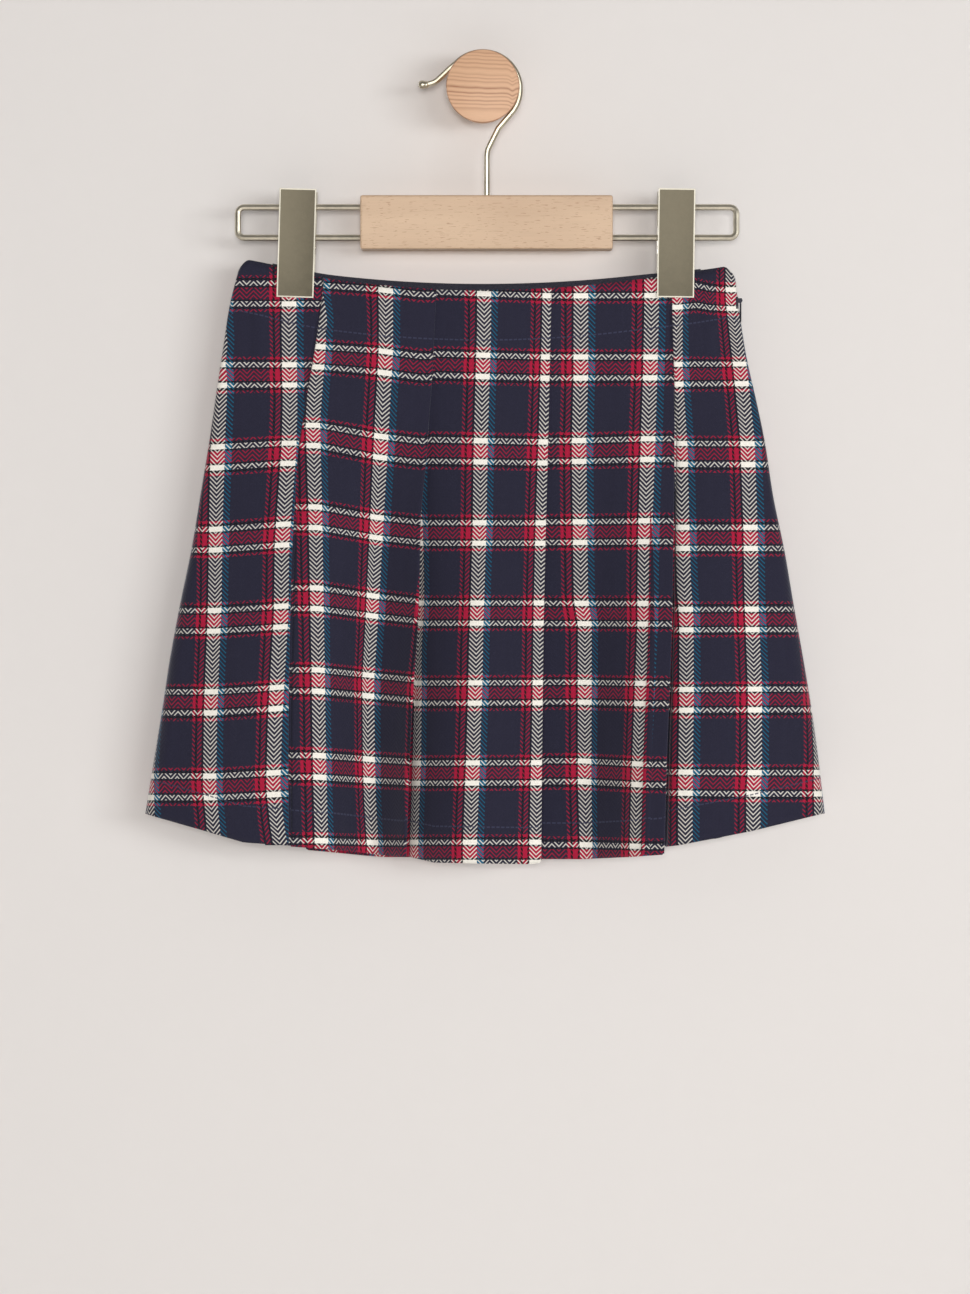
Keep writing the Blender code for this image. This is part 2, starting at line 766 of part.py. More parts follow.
def add_zip(collection, cutters, metal):
    inner, axis = zip_places()
    half = SLIDER_WIDTH / 2.0
    top = ZIP_DOWN - SLIDER_ABOVE
    low, high = corners(inner, -half, top, inner + SLIDER_DEPTH, half, top + SLIDER_HEIGHT)
    slider = add_box("zip_slider", low, high, collection, metal, SLIDER_ROUND)
    lug_out = EYE_WIDTH / 2.0 + SEAM_GAP
    for label, side in (("front", 1.0), ("back", -1.0)):
        low, high = corners(
            inner + SLIDER_DEPTH / 2.0, side * lug_out, ZIP_DOWN - LUG_HALF,
            axis + LUG_REACH, side * (lug_out + LUG), ZIP_DOWN + LUG_HALF
        )
        lug = add_box("zip_lug_" + label, low, high, cutters)
        hide_guide(lug)
        join_by_boolean(slider, lug, "UNION")
    bridge = add_rod_cutter(
        "zip_bridge", BRIDGE_RADIUS, EYE_WIDTH + 2.0 * SEAM_GAP + LUG, place(axis, 0.0, ZIP_DOWN),
        "Y", cutters
    )
    join_by_boolean(slider, bridge, "UNION")

    # The pull hangs down from its eye, and its origin is on the axis it swings about
    bm = bmesh.new()
    bmesh.ops.create_cone(
        bm, cap_ends=True, segments=24, radius1=EYE_RADIUS * MM, radius2=EYE_RADIUS * MM,
        depth=EYE_WIDTH * MM
    )
    bmesh.ops.rotate(
        bm, verts=bm.verts, matrix=Matrix.Rotation(math.radians(90.0), 3, "X"), cent=(0, 0, 0)
    )
    pull = add_object("zip_pull", mesh_from(bm, "zip_pull"), collection, metal)
    pull.location = place(axis, 0.0, ZIP_DOWN)
    tab_top = ZIP_DOWN + EYE_RADIUS + STEM_OVERLAP
    low, high = corners(
        axis - TAB_THICK / 2.0, -TAB_WIDTH / 2.0, tab_top,
        axis + TAB_THICK / 2.0, TAB_WIDTH / 2.0, ZIP_DOWN + TAB_LENGTH
    )
    tab = add_box("zip_tab", low, high, cutters, None, TAB_ROUND)
    stem_half = EYE_WIDTH / 2.0 - STEM_INSET
    low, high = corners(
        axis - TAB_THICK / 2.0, -stem_half, ZIP_DOWN + EYE_RADIUS - STEM_OVERLAP / 2.0,
        axis + TAB_THICK / 2.0, stem_half, tab_top + STEM_OVERLAP
    )
    stem = add_box("zip_stem", low, high, cutters)
    hole = add_rod_cutter(
        "zip_eye_hole", EYE_HOLE, EYE_WIDTH + CUTTER_EXTRA, place(axis, 0.0, ZIP_DOWN), "Y", cutters
    )
    for tool, operation in ((stem, "UNION"), (tab, "UNION"), (hole, "DIFFERENCE")):
        hide_guide(tool)
        join_by_boolean(pull, tool, operation)


def main():
    clear_scene()
    collection = make_collection(OBJECT_NAME)
    cutters = make_collection("Cutters")
    check = make_material("check twill", (0.04, 0.04, 0.09), 0.85)
    plain = make_material("plain navy facing", (0.015, 0.018, 0.035), 0.9)
    beech = make_material("beech", (0.68, 0.48, 0.33), 0.6)
    pine = make_material("pine", (0.72, 0.47, 0.26), 0.6)
    nickel = make_material("satin nickel", (0.55, 0.52, 0.45), 0.35, 1.0)
    zip_metal = make_material("dark zip metal", (0.12, 0.12, 0.13), 0.4, 1.0)

    add_panels(collection, check)
    add_facing(collection, plain)
    add_peg(collection, pine)
    add_bar(collection, cutters, beech)
    add_rail(collection, nickel)
    add_hook(collection, cutters, nickel)
    for side, middle in CLIP_MIDDLES.items():
        add_clip(side, middle, collection, cutters, nickel)
    add_zip(collection, cutters, zip_metal)


main()
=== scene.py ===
# %% [markdown]
# # A pleated skirt on a clip hanger
# This lesson dresses a finished plain model of a checked skirt. The skirt hangs from the
# two clips of a wood and wire hanger, and the hanger's hook goes over a round wooden peg.
# Each new piece is made where the plain one is, so that both have the same size.

import math
from collections import namedtuple

import bmesh
import bpy
from mathutils import Matrix, Vector


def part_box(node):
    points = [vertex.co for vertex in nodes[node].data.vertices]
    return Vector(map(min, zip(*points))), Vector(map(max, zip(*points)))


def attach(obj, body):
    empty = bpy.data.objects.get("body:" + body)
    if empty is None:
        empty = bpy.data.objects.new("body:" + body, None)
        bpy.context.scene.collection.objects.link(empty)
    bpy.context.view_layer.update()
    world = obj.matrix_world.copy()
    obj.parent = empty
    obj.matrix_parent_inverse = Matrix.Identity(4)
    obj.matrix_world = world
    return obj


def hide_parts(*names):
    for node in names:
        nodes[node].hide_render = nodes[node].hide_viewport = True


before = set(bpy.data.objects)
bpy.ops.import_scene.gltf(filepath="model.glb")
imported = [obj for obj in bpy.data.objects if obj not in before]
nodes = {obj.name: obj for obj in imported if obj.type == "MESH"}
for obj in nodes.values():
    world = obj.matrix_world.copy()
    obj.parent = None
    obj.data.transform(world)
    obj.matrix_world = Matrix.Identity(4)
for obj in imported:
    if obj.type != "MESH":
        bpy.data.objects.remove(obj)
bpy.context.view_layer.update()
MM = 0.001
BODY = "skirt_and_hanger"
print("plain pieces:", sorted(nodes))

# %% [markdown]
# ## Small helpers for materials
# A material is a little network: numbers flow through nodes and end in one shader. A Value
# stands for what one node gives. So a finish can be written as sums, and each step of a sum
# adds the node that works it out.

# %% Helpers for material networks


class Value:
    """A number, place or colour that a node gives."""

    def __init__(self, socket):
        self.socket = socket
        self.tree = socket.id_data

    def step(self, operation, *others):
        node = self.tree.nodes.new("ShaderNodeMath")
        node.operation = operation
        return fed(node, enumerate((self,) + others))

    def __add__(self, other):
        return self.step("ADD", other)

    def __sub__(self, other):
        return self.step("SUBTRACT", other)

    def __rsub__(self, other):
        return self * -1.0 + other

    def __mul__(self, other):
        return self.step("MULTIPLY", other)

    def __truediv__(self, other):
        return self.step("DIVIDE", other)


def feed(socket, value):
    if isinstance(value, Value):
        value.tree.links.new(value.socket, socket)
    else:
        socket.default_value = value


def fed(node, inputs, output=0):
    """Feeds the inputs of a node and gives one of its outputs."""
    for key, value in dict(inputs).items():
        feed(node.inputs[key], value)
    return Value(node.outputs[output])


def start_material(name, **settings):
    """A new material with its shader's constant settings, and its network."""
    material = bpy.data.materials.new(name)
    material.use_nodes = True
    shader = material.node_tree.nodes["Principled BSDF"]
    for label, value in settings.items():
        shader.inputs[label.replace("_", " ")].default_value = value
    return material, material.node_tree, shader


def blend_colours(share, a, b, way="MIX"):
    tree = next(value.tree for value in (share, a) if isinstance(value, Value))
    node = tree.nodes.new("ShaderNodeMix")
    node.data_type = "RGBA"
    node.blend_type = way
    return fed(node, {0: share, 6: a, 7: b}, 2)


def shaded(colour, light):
    return blend_colours(1.0, colour, light, "MULTIPLY")


def colour_steps(value, stops, way="LINEAR"):
    node = value.tree.nodes.new("ShaderNodeValToRGB")
    node.color_ramp.interpolation = way
    ramp = node.color_ramp.elements
    while len(ramp) < len(stops):
        ramp.new(1.0)
    for element, (position, colour) in zip(ramp, stops):
        element.position = position
        element.color = colour
    return fed(node, {0: value})


def spots(place, scale, detail=2.0, roughness=0.5):
    """Soft random variation, from 0 to 1."""
    node = place.tree.nodes.new("ShaderNodeTexNoise")
    return fed(node, {"Vector": place, "Scale": scale, "Detail": detail, "Roughness": roughness})


def streaks(place, scales, detail=2.0, roughness=0.5):
    """The same, with a scale of its own in each direction."""
    node = place.tree.nodes.new("ShaderNodeMapping")
    return spots(fed(node, {"Vector": place, "Scale": scales}), 1.0, detail, roughness)


def object_place(tree):
    return Value(tree.nodes.new("ShaderNodeTexCoord").outputs["Object"])


def map_place(tree, name):
    node = tree.nodes.new("ShaderNodeUVMap")
    node.uv_map = name
    return Value(node.outputs[0])


def parts_of(place):
    node = place.tree.nodes.new("ShaderNodeSeparateXYZ")
    feed(node.inputs[0], place)
    return [Value(socket) for socket in node.outputs]


def relief(shader, height, depth, strength):
    """Lets a height stand out from the surface, depth metres at most."""
    node = height.tree.nodes.new("ShaderNodeBump")
    normal = fed(node, {"Strength": strength, "Distance": depth, "Height": height})
    feed(shader.inputs["Normal"], normal)


def dye(red, green, blue):
    """A colour as a dye chart gives it, 0 to 255, made into light."""
    def light(value):
        value /= 255.0
        return value / 12.92 if value <= 0.04045 else ((value + 0.055) / 1.055) ** 2.4
    return light(red), light(green), light(blue), 1.0


# %% [markdown]
# ## The checked twill
# The check isn't printed, it is woven. Coloured threads run down the cloth and coloured
# threads run across it, and the weave decides which of the two shows at each point. So the
# material keeps two charts, one for each direction, and a herringbone step that chooses
# between them. White over white then comes out white, and white over navy comes out striped,
# as in the real cloth. The charts are in millimetres of cloth, read from the map named cloth.

# %% Charts of the threads


def rows_of(kind, rows):
    return [kind(*row) for row in rows]


NAVY = dye(35, 34, 51)
BLACK = dye(18, 17, 24)
WHITE = dye(236, 232, 222)
RED = dye(162, 19, 54)
TEAL = dye(10, 92, 122)

Band = namedtuple("Band", "start colour")
DOWN_REPEAT = 41.0     # millimetres of cloth from one white stripe to the next
DOWN_THREADS = rows_of(Band, [     # from the middle between two white stripes
    (-20.5, NAVY),
    (-11.45, RED),
    (-9.7, BLACK),
    (-8.2, RED),
    (-5.5, BLACK),
    (-4.2, WHITE),
    (4.2, TEAL),
    (8.4, NAVY),
])
ACROSS_REPEAT = 47.5   # from one red band to the next
ACROSS_THREADS = rows_of(Band, [
    (-23.75, NAVY),
    (-10.7, RED),
    (-9.1, BLACK),
    (-7.5, WHITE),
    (-4.6, BLACK),
    (-3.5, RED),
    (3.5, BLACK),
    (4.6, WHITE),
    (7.5, BLACK),
    (9.1, RED),
    (10.7, NAVY),
])
TWILL_PITCH = 2.6      # from one slanting line of the weave to the next
HERRINGBONE = 4.1      # after which the slant changes its side


def thread_chart(place, repeat, bands):
    turn = (place / repeat + 0.5).step("FRACT")
    stops = [(band.start / repeat + 0.5, band.colour) for band in bands]
    return colour_steps(turn, stops, "CONSTANT")


# %% [markdown]
# The second map, named edges, tells how far a point is below the waist edge and above the
# hem. The two rows of machine stitches that hold the waist facing and the hem are drawn from
# it: short sunk dashes of navy thread.

# %% The twill material
WAIST_STITCH = 29.0    # how far the rows of stitches lie from their edges
HEM_STITCH = 21.0
STITCH_HALF = 0.42     # half the width of a stitch
STITCH_STEP = 3.0      # from one stitch to the next
STITCH_SHARE = 0.7     # how much of a step the stitch covers
STITCH_BLUE = dye(56, 58, 80)

SINKS = 0.9            # how fast a lighter thread sinks between darker ones
SUNK = 0.22            # and the most that it sinks
SOFT = 0.18            # how soft the edge between two threads is
SHADED = 0.35          # how much a light thread is shaded by the dark ones beside it
ALONG_THREAD = 0.05    # how slowly the dye varies along a thread
BESIDE_THREAD = 2.6    # and how fast from one thread to the next


def stitch_row(distance, along, where):
    """1 on the stitches of a row that lies at a given distance from an edge."""
    on_line = (distance - where).step("ABSOLUTE").step("LESS_THAN", STITCH_HALF)
    dash = (along / STITCH_STEP).step("FRACT").step("LESS_THAN", STITCH_SHARE)
    return on_line * dash


def brightness(colour):
    node = colour.tree.nodes.new("ShaderNodeSeparateColor")
    node.mode = "HSV"
    return fed(node, {0: colour}, 2).step("SQRT")


def make_twill():
    material, tree, shader = start_material(
        "herringbone check", Roughness=0.88, Specular_IOR_Level=0.22,
        Sheen_Weight=0.25, Sheen_Roughness=0.45, Sheen_Tint=(0.75, 0.78, 0.9, 1.0)
    )
    cloth = map_place(tree, "cloth")
    across, down, _ = parts_of(cloth)
    below_waist, above_hem, _ = parts_of(map_place(tree, "edges"))
    warp = thread_chart(across, DOWN_REPEAT, DOWN_THREADS)
    weft = thread_chart(down, ACROSS_REPEAT, ACROSS_THREADS)

    slant = (down + across.step("PINGPONG", HERRINGBONE)) / TWILL_PITCH
    # A light thread sinks between dark ones and shows a little less than half of the cloth
    lighter = brightness(warp) - brightness(weft)
    sunk = (lighter * SINKS).step("MAXIMUM", -SUNK).step("MINIMUM", SUNK)
    off = (slant.step("FRACT") - 0.5).step("ABSOLUTE")
    warp_shows = ((0.5 - sunk) / 2.0 - off) / SOFT + 0.5
    warp_shows.socket.node.use_clamp = True
    above = (lighter * (warp_shows * 2.0 - 1.0)).step("MAXIMUM", 0.0)
    woven = shaded(blend_colours(warp_shows, weft, warp), above * -SHADED + 1.0)

    # Threads are never dyed or lit quite evenly
    lengthwise = streaks(cloth, (BESIDE_THREAD, ALONG_THREAD, 1.0), 1.0)
    sideways = streaks(cloth, (ALONG_THREAD, BESIDE_THREAD, 1.0), 1.0)
    uneven = blend_colours(warp_shows, sideways, lengthwise)
    fine = spots(cloth, 1.7)
    woven = shaded(woven, uneven * 0.35 + fine * 0.45 + 0.6)

    stitches = stitch_row(below_waist, across, WAIST_STITCH)
    stitches = stitches + stitch_row(above_hem, across, HEM_STITCH)
    feed(shader.inputs["Base Color"], blend_colours(stitches * 0.8, woven, STITCH_BLUE))
    ridge = (slant * (2.0 * math.pi)).step("SINE")
    relief(shader, ridge * 0.25 + fine * 0.5 - stitches * 1.6, 0.00018, 0.55)
    return material


TWILL = make_twill()
print("twill:", DOWN_REPEAT, "x", ACROSS_REPEAT, "mm repeat")

# %% [markdown]
# ## The shape of the cloth
# Seen from above, the cloth is one long line: it runs round a side, along a panel, folds
# back on itself for a pleat, turns again and comes out as the next panel. The tables give
# where the folds lie at a few heights, and how far each panel stands out at the waist and at
# the hem. In between, a smooth curve is read through the rows of a table.

# %% Tables of the folds
Level = namedtuple("Level", "share side_left fold_a fold_b fold_c fold_d side_right open")
LEVELS = rows_of(Level, [
    (0.00, -142.3, -92.5, -27.0, 39.6, 109.2, 146.8, 0.00),
    (0.06, -147.2, -94.7, -28.0, 39.2, 109.7, 149.2, 0.00),
    (0.14, -151.2, -98.7, -29.3, 38.6, 110.3, 153.2, 0.03),
    (0.22, -155.1, -103.2, -31.2, 38.0, 110.9, 158.9, 0.10),
    (0.30, -158.8, -107.0, -33.1, 37.4, 110.9, 164.1, 0.22),
    (0.40, -164.0, -109.2, -36.4, 36.5, 110.6, 168.9, 0.40),
    (0.50, -169.2, -110.9, -37.2, 35.7, 110.0, 175.3, 0.58),
    (0.60, -175.6, -111.8, -38.5, 35.0, 109.4, 180.5, 0.74),
    (0.70, -181.4, -112.4, -40.8, 34.6, 108.3, 185.9, 0.87),
    (0.80, -186.1, -112.8, -42.8, 34.2, 106.8, 190.9, 0.95),
    (0.90, -191.1, -112.8, -44.0, 33.9, 105.8, 195.0, 1.00),
    (1.00, -195.9, -112.6, -45.1, 33.6, 104.9, 198.5, 1.00),
])

Stand = namedtuple("Stand", "across waist front_hem back_hem")
STANDS = {
    "side_left": rows_of(Stand, [
        (0.00, 2.2, 12.0, 14.0),
        (0.20, 2.9, 17.0, 17.0),
        (0.45, 3.6, 22.0, 20.0),
        (0.75, 4.2, 26.5, 22.0),
        (1.00, 4.4, 28.0, 23.0),
    ]),
    "first_pleat": rows_of(Stand, [
        (0.02, 1.4, 24.4, 18.5),
        (0.12, 2.3, 25.0, 19.5),
        (0.25, 3.6, 24.8, 19.5),
        (0.40, 4.5, 21.0, 17.5),
        (0.54, 4.5, 12.0, 14.0),
        (0.70, 4.5, 6.0, 11.5),
        (0.85, 4.5, 14.0, 15.0),
        (1.00, 4.4, 26.0, 21.0),
    ]),
    "second_pleat": rows_of(Stand, [
        (0.02, 1.4, 1.0, 9.0),
        (0.05, 1.6, 6.0, 11.5),
        (0.12, 2.3, 12.0, 14.5),
        (0.26, 3.6, 21.0, 19.0),
        (0.42, 4.5, 28.0, 22.0),
        (0.60, 4.6, 30.0, 23.5),
        (0.80, 4.6, 30.5, 24.0),
        (1.00, 4.4, 31.0, 24.0),
    ]),
    "third_pleat": rows_of(Stand, [
        (0.02, 1.4, 1.0, 9.5),
        (0.22, 2.3, 2.0, 10.5),
        (0.42, 3.3, 5.0, 12.5),
        (0.57, 4.0, 14.0, 16.5),
        (0.77, 4.4, 26.0, 22.0),
        (1.00, 4.4, 33.0, 25.0),
    ]),
    "side_right": rows_of(Stand, [
        (0.03, 1.4, 10.5, 12.5),
        (0.055, 1.4, 14.5, 14.5),
        (0.10, 1.5, 16.5, 15.5),
        (0.25, 1.6, 18.0, 17.0),
        (0.52, 1.8, 18.0, 18.0),
        (0.77, 2.0, 15.5, 17.0),
        (1.00, 2.2, 11.0, 14.0),
    ]),
}
EDGES = {
    "side_left": ("side_left", "fold_a"),
    "first_pleat": ("fold_a", "fold_b"),
    "second_pleat": ("fold_b", "fold_c"),
    "third_pleat": ("fold_c", "fold_d"),
    "side_right": ("fold_d", "side_right"),
}
Inner = namedtuple("Inner", "waist front_hem back_hem")
INNER_FOLDS = {"fold_b": Inner(1.4, -1.0, 8.0), "fold_c": Inner(1.4, -1.5, 8.0)}

HANG_PLANE = 32.0      # how far the middle of the skirt hangs from the wall
CLOTH = 0.62           # thickness of the twill
LAYER = 1.4            # from one layer of folded cloth to the next
NEAR = 4.5             # a layer keeps clear of the one before it this far to both sides
SEAM_GAP = 0.3
PLEAT_DEPTH = 33.0
LEAST_REACH = 0.4 * PLEAT_DEPTH
ROLL_WAIST = 3.0       # how far the cloth rolls in at the sides
ROLL_HEM = 13.0
ROLL_START = 0.5
FLAT = 4.3             # how far out the lapped tops lie, over the panel beside them

# %% Heights of the waist edge and of the hem
WAIST_MIDDLE = 117.7
WAIST_RISE = 16.3
BACK_MIDDLE = 114.9
BACK_RISE = 13.5
CORNER_START = 0.95
CORNER_DROP = 9.0
LEFT_RAISED = 2.3      # the left corner stands a little higher than the right one
RIGHT_LOWERED = 1.6
CROOKED = (0.6, 0.95)  # between which shares of the half width that difference grows
MOUTH = 7.0            # how far the front of the waist stands forward between the clips
MOUTH_HALF = 88.0
MOUTH_FADE = 0.3
HEM_TUCK = 0.6         # how much shorter the hidden folds are
HEMS = {
    "side_left": [(-195.9, 421.4), (-164, 430.3), (-137.6, 438.0), (-112.6, 439.8)],
    "first_pleat": [(-112.6, 440.2), (-82.8, 442.5), (-47.4, 446.5)],
    "second_pleat": [(-45.1, 445.7), (-28, 449.7), (0.7, 450.3), (27.4, 450.6), (33.8, 449.7)],
    "third_pleat": [(33.8, 447.6), (58.1, 447.7), (86, 446.4), (104.7, 445)],
    "side_right": [(105.3, 440.6), (113.6, 439.6), (155, 431.5), (198.5, 421)],
}

# %% [markdown]
# ## Where the check falls on each panel
# The first table says where the white stripes of each panel lie at a few heights, as pairs of
# down and across. The second says at which heights the red bands lie at a few places across.
# So the check leans and bends with the cloth as it hangs.

# %% Tables of the check
STRIPES = {
    "side_left": {
        0: [(180.3, -152.4), (208.7, -153.6), (261.5, -154.7), (304.4, -155.3), (363, -157.6),
            (407.7, -158.2), (430.3, -155.9)],
        1: [(123.5, -112.4), (140.9, -112.4), (180.3, -111.8), (206.4, -112.4), (261.5, -116.5),
            (301.5, -117), (360.1, -120.5), (399, -121.7), (420.4, -119.4), (434.4, -117)],
    },
    "first_pleat": {
        0: [(115.4, -95.6), (152.5, -95), (196.6, -98.5), (244.1, -97), (302.1, -95.8),
            (338.7, -95), (388, -94.4), (416.4, -93.8), (437.3, -93.3)],
        1: [(115.4, -56.3), (152.5, -56.3), (201.8, -59), (249.9, -61.7), (305.6, -64.8),
            (343.9, -67.2), (390.3, -66.6), (413.5, -65.7), (438.4, -63.7)],
    },
    "second_pleat": {
        0: [(123.5, -39.9), (204.7, -39.9), (262.7, -38.2), (308.5, -37), (345.6, -37.6),
            (390.3, -38.3), (437.3, -39.9)],
        1: [(119.4, 0.9), (140.9, 0.9), (167, 0.1), (205.8, -1), (254, -1.6), (311.4, -3.4),
            (346.2, -4.1), (393.2, -5.7), (438.4, -7.4)],
        2: [(123.5, 38.4), (140.9, 38.1), (205.3, 36.1), (253.4, 34.3), (304.4, 33.2),
            (357.8, 32.6), (393.2, 31.8), (439.6, 30.9)],
    },
    "third_pleat": {
        0: [(123.5, 56.8), (167, 56.8), (205.3, 55.8), (253.4, 56.4), (296.9, 57), (310.2, 59.3),
            (401.9, 59.3), (440.7, 60.4)],
        1: [(131, 97.8), (167.6, 97), (205.3, 95.8), (257.5, 94.1), (310.2, 93.5), (357.8, 91.5),
            (393.2, 90), (440.7, 88.3)],
    },
    "side_right": {
        0: [(125.2, 112.6), (158.9, 111.9), (207, 114.7), (257.5, 115.8), (285.3, 116.7),
            (303.3, 118.2), (349.7, 118.2), (397.2, 117.5), (437.8, 117.5)],
        1: [(125.2, 144), (160.6, 148.6), (207, 153.2), (255.7, 155), (303.3, 155.6),
            (349.7, 157.6), (397.2, 157.6), (410, 156.7), (433.8, 156.7)],
    },
}
BANDS = {
    "side_left": [
        (-155.3, [119.7, 166.9, 214.8, 262.5, 309.5, 356.6, 405.7]),
        (-114.7, [119.7, 167, 212.2, 259.4, 306.9, 353.7, 403.5]),
    ],
    "first_pleat": [
        (-95.6, [108.8, 156.5, 201.8, 249.5, 296.3, 343.9, 393.8, 443.1]),
        (-61.9, [111.1, 158.7, 208.5, 255.4, 301, 347.2, 396.1, 444.1]),
        (-36.4, [114.1, 162.1, 211.5, 258.2, 303.9, 349.7, 397.5, 444.2]),
    ],
    "second_pleat": [
        (-30.6, [112.6, 160.6, 210.8, 258.6, 305, 351.4, 397.8, 443.6]),
        (36.1, [114.9, 162.5, 212.1, 258.6, 305, 351.1, 397.5, 443.6]),
    ],
    "third_pleat": [
        (57, [115, 162.5, 211.1, 258, 305.3, 350.8, 396.4, 445.4]),
        (94.1, [114.8, 162.6, 209.9, 257.5, 305.5, 351.6, 398.6, 446.3]),
    ],
    "side_right": [
        (113.2, [122, 166.4, 212.5, 261.5, 308.8, 355.2, 403.2]),
        (124.2, [120.8, 166.3, 212.5, 261.5, 308.8, 355.1, 403.3]),
        (131.8, [122.3, 166.2, 212.6, 261.5, 308.8, 355.1, 403.4]),
        (139.9, [122.9, 166.1, 212.6, 261.5, 308.7, 355, 403.5]),
        (155, [123, 166, 212.7, 261.5, 308.7, 354.9, 403.6]),
    ],
}

# %% [markdown]
# The tables give places as they look from 2.2 m in front, in a plane through the skirt. What
# lies nearer to the eye looks larger, so each value is brought to the depth where it belongs.

# %% The eye
EYE_ACROSS = 1.3
EYE_DOWN = 324.7
EYE_AWAY = 2200.0
READ_PLANE = 41.0      # how far from the wall the plane of the tables is
EDGE_OUT_WAIST = 4.0   # how far out the folds lie at the waist
# And at the hem:
EDGE_OUTS = {"side_left": 0.0, "fold_a": 26.0, "fold_b": 26.0, "fold_c": 31.0, "fold_d": 33.0,
             "side_right": 0.0}


def nearness(out):
    return (EYE_AWAY - READ_PLANE) / (EYE_AWAY - HANG_PLANE - out)


def placed(value, eye, out):
    """Brings a value of a table to the depth where it belongs."""
    return eye + (value - eye) / nearness(out)


def seen(value, eye, out):
    """The other way round: how a place at some depth looks from the eye."""
    return eye + (value - eye) * nearness(out)


# %% Reading a table smoothly


def mix(a, b, share):
    return a + (b - a) * share


def ease(low, high, value):
    share = min(max((value - low) / (high - low), 0.0), 1.0)
    return share * share * (3.0 - 2.0 * share)


def straight(points, x):
    """Reads straight lines through places, and runs on past both ends."""
    pairs = list(zip(points, points[1:]))
    a, b = next((pair for pair in pairs if x <= pair[1][0]), pairs[-1])
    return a[1] + (b[1] - a[1]) * (x - a[0]) / (b[0] - a[0])


def held(points, x):
    """The same, but stays at the last value past both ends."""
    return straight(points, min(max(x, points[0][0]), points[-1][0]))


def curve(points, x):
    """Reads a smooth curve through places."""
    if x <= points[0][0]:
        return points[0][1]
    if x >= points[-1][0]:
        return points[-1][1]
    i = next(k for k in range(len(points) - 1) if x <= points[k + 1][0])
    a, b = points[i], points[i + 1]
    before = points[max(i - 1, 0)]
    after = points[min(i + 2, len(points) - 1)]
    width = b[0] - a[0]
    slope_a = (b[1] - before[1]) / (b[0] - before[0]) * width
    slope_b = (after[1] - a[1]) / (after[0] - a[0]) * width
    t = (x - a[0]) / width
    return (
        (2 * t ** 3 - 3 * t ** 2 + 1) * a[1] + (t ** 3 - 2 * t ** 2 + t) * slope_a
        + (3 * t ** 2 - 2 * t ** 3) * b[1] + (t ** 3 - t ** 2) * slope_b
    )


def level_at(share):
    values = [curve([(row.share, row[k]) for row in LEVELS], share) for k in range(1, 8)]
    level = Level(share, *values)
    level = level._replace(open=min(max(level.open, 0.0), 1.0))
    moved = {}
    for edge, out_at_hem in EDGE_OUTS.items():
        out = mix(EDGE_OUT_WAIST, out_at_hem, level.open)
        moved[edge] = placed(getattr(level, edge), EYE_ACROSS, out)
    return level._replace(**moved)


def turned(level):
    """The same level for the back, seen from behind."""
    return level._replace(side_left=-level.side_right, side_right=-level.side_left)


# %% [markdown]
# ## Soft creases
# Pressed cloth isn't flat. Each row of this table is one shallow trough or ridge: where it starts
# and ends, how it leans, how wide it is and how deep. A minus depth is a trough. The hidden side
# has its own, a little different ones.

# %% Table of creases
Crease = namedtuple("Crease", "across top bottom lean width depth")
CREASES = {
    "front": rows_of(Crease, [
        (131.5, 92, 158, 0.03, 5.0, 1.9),
        (-129.0, 94, 162, -0.03, 5.0, 1.6),
        (100.0, 100, 150, 0.0, 3.0, 0.8),
        (-92.0, 100, 150, 0.03, 3.2, 0.9),
        (-134.0, 122, 178, -0.05, 3.0, -0.55),
        (-127.0, 126, 196, -0.03, 3.4, 0.5),
        (-119.5, 130, 170, 0.0, 3.0, -0.5),
        (-106.5, 122, 158, 0.02, 4.5, -0.9),
        (-78.0, 150, 300, -0.06, 9.0, -0.9),
        (-46.0, 125, 245, -0.05, 6.0, 0.7),
        (-13.0, 230, 380, -0.03, 9.0, -0.8),
        (16.0, 128, 240, -0.02, 9.0, -0.6),
        (24.0, 300, 440, 0.0, 8.0, 0.7),
        (52.0, 130, 280, 0.0, 7.0, -0.7),
        (84.0, 140, 260, -0.02, 8.0, 0.8),
        (112.0, 122, 156, 0.0, 4.5, -0.8),
        (129.0, 124, 190, 0.06, 3.4, 0.5),
        (137.5, 120, 210, 0.08, 3.2, -0.6),
        (148.0, 220, 400, 0.06, 9.0, -1.0),
        (-150.0, 250, 420, -0.05, 9.0, -1.0),
    ]),
    "back": rows_of(Crease, [
        (-131.0, 122, 184, -0.04, 3.2, 0.5),
        (-122.0, 124, 170, 0.02, 3.0, -0.5),
        (-107.0, 122, 150, 0.0, 4.5, -0.8),
        (-70.0, 160, 330, -0.04, 9.0, -0.9),
        (-8.0, 140, 280, 0.03, 8.0, 0.8),
        (20.0, 240, 410, -0.02, 9.0, -0.8),
        (66.0, 150, 300, 0.02, 8.0, -0.7),
        (112.0, 122, 160, 0.0, 4.5, -0.8),
        (133.0, 122, 200, 0.06, 3.4, -0.6),
        (150.0, 240, 400, 0.05, 9.0, 0.9),
    ]),
}
CREASE_REACH = 3.0     # in widths of the crease


def crease_height(face, across, down):
    height = 0.0
    for crease in CREASES[face]:
        if not crease.top < down < crease.bottom:
            continue
        along = (down - crease.top) / (crease.bottom - crease.top)
        middle = crease.across + crease.lean * (down - crease.top)
        side = (across - middle) / crease.width
        if abs(side) < CREASE_REACH:
            height += crease.depth * math.exp(-side * side) * math.sin(math.pi * along) ** 2
    return height


# %% [markdown]
# ## Laps and pleats
# The two middle pleats are plain knife pleats: a panel folds back on itself, runs behind,
# turns and comes out as the next one. The outer two are different. At the top the inner
# panel laps over the outer one, and lower down the fold goes over to the other side. The
# two flaps behind such a place swing round together, like the pages of a book.

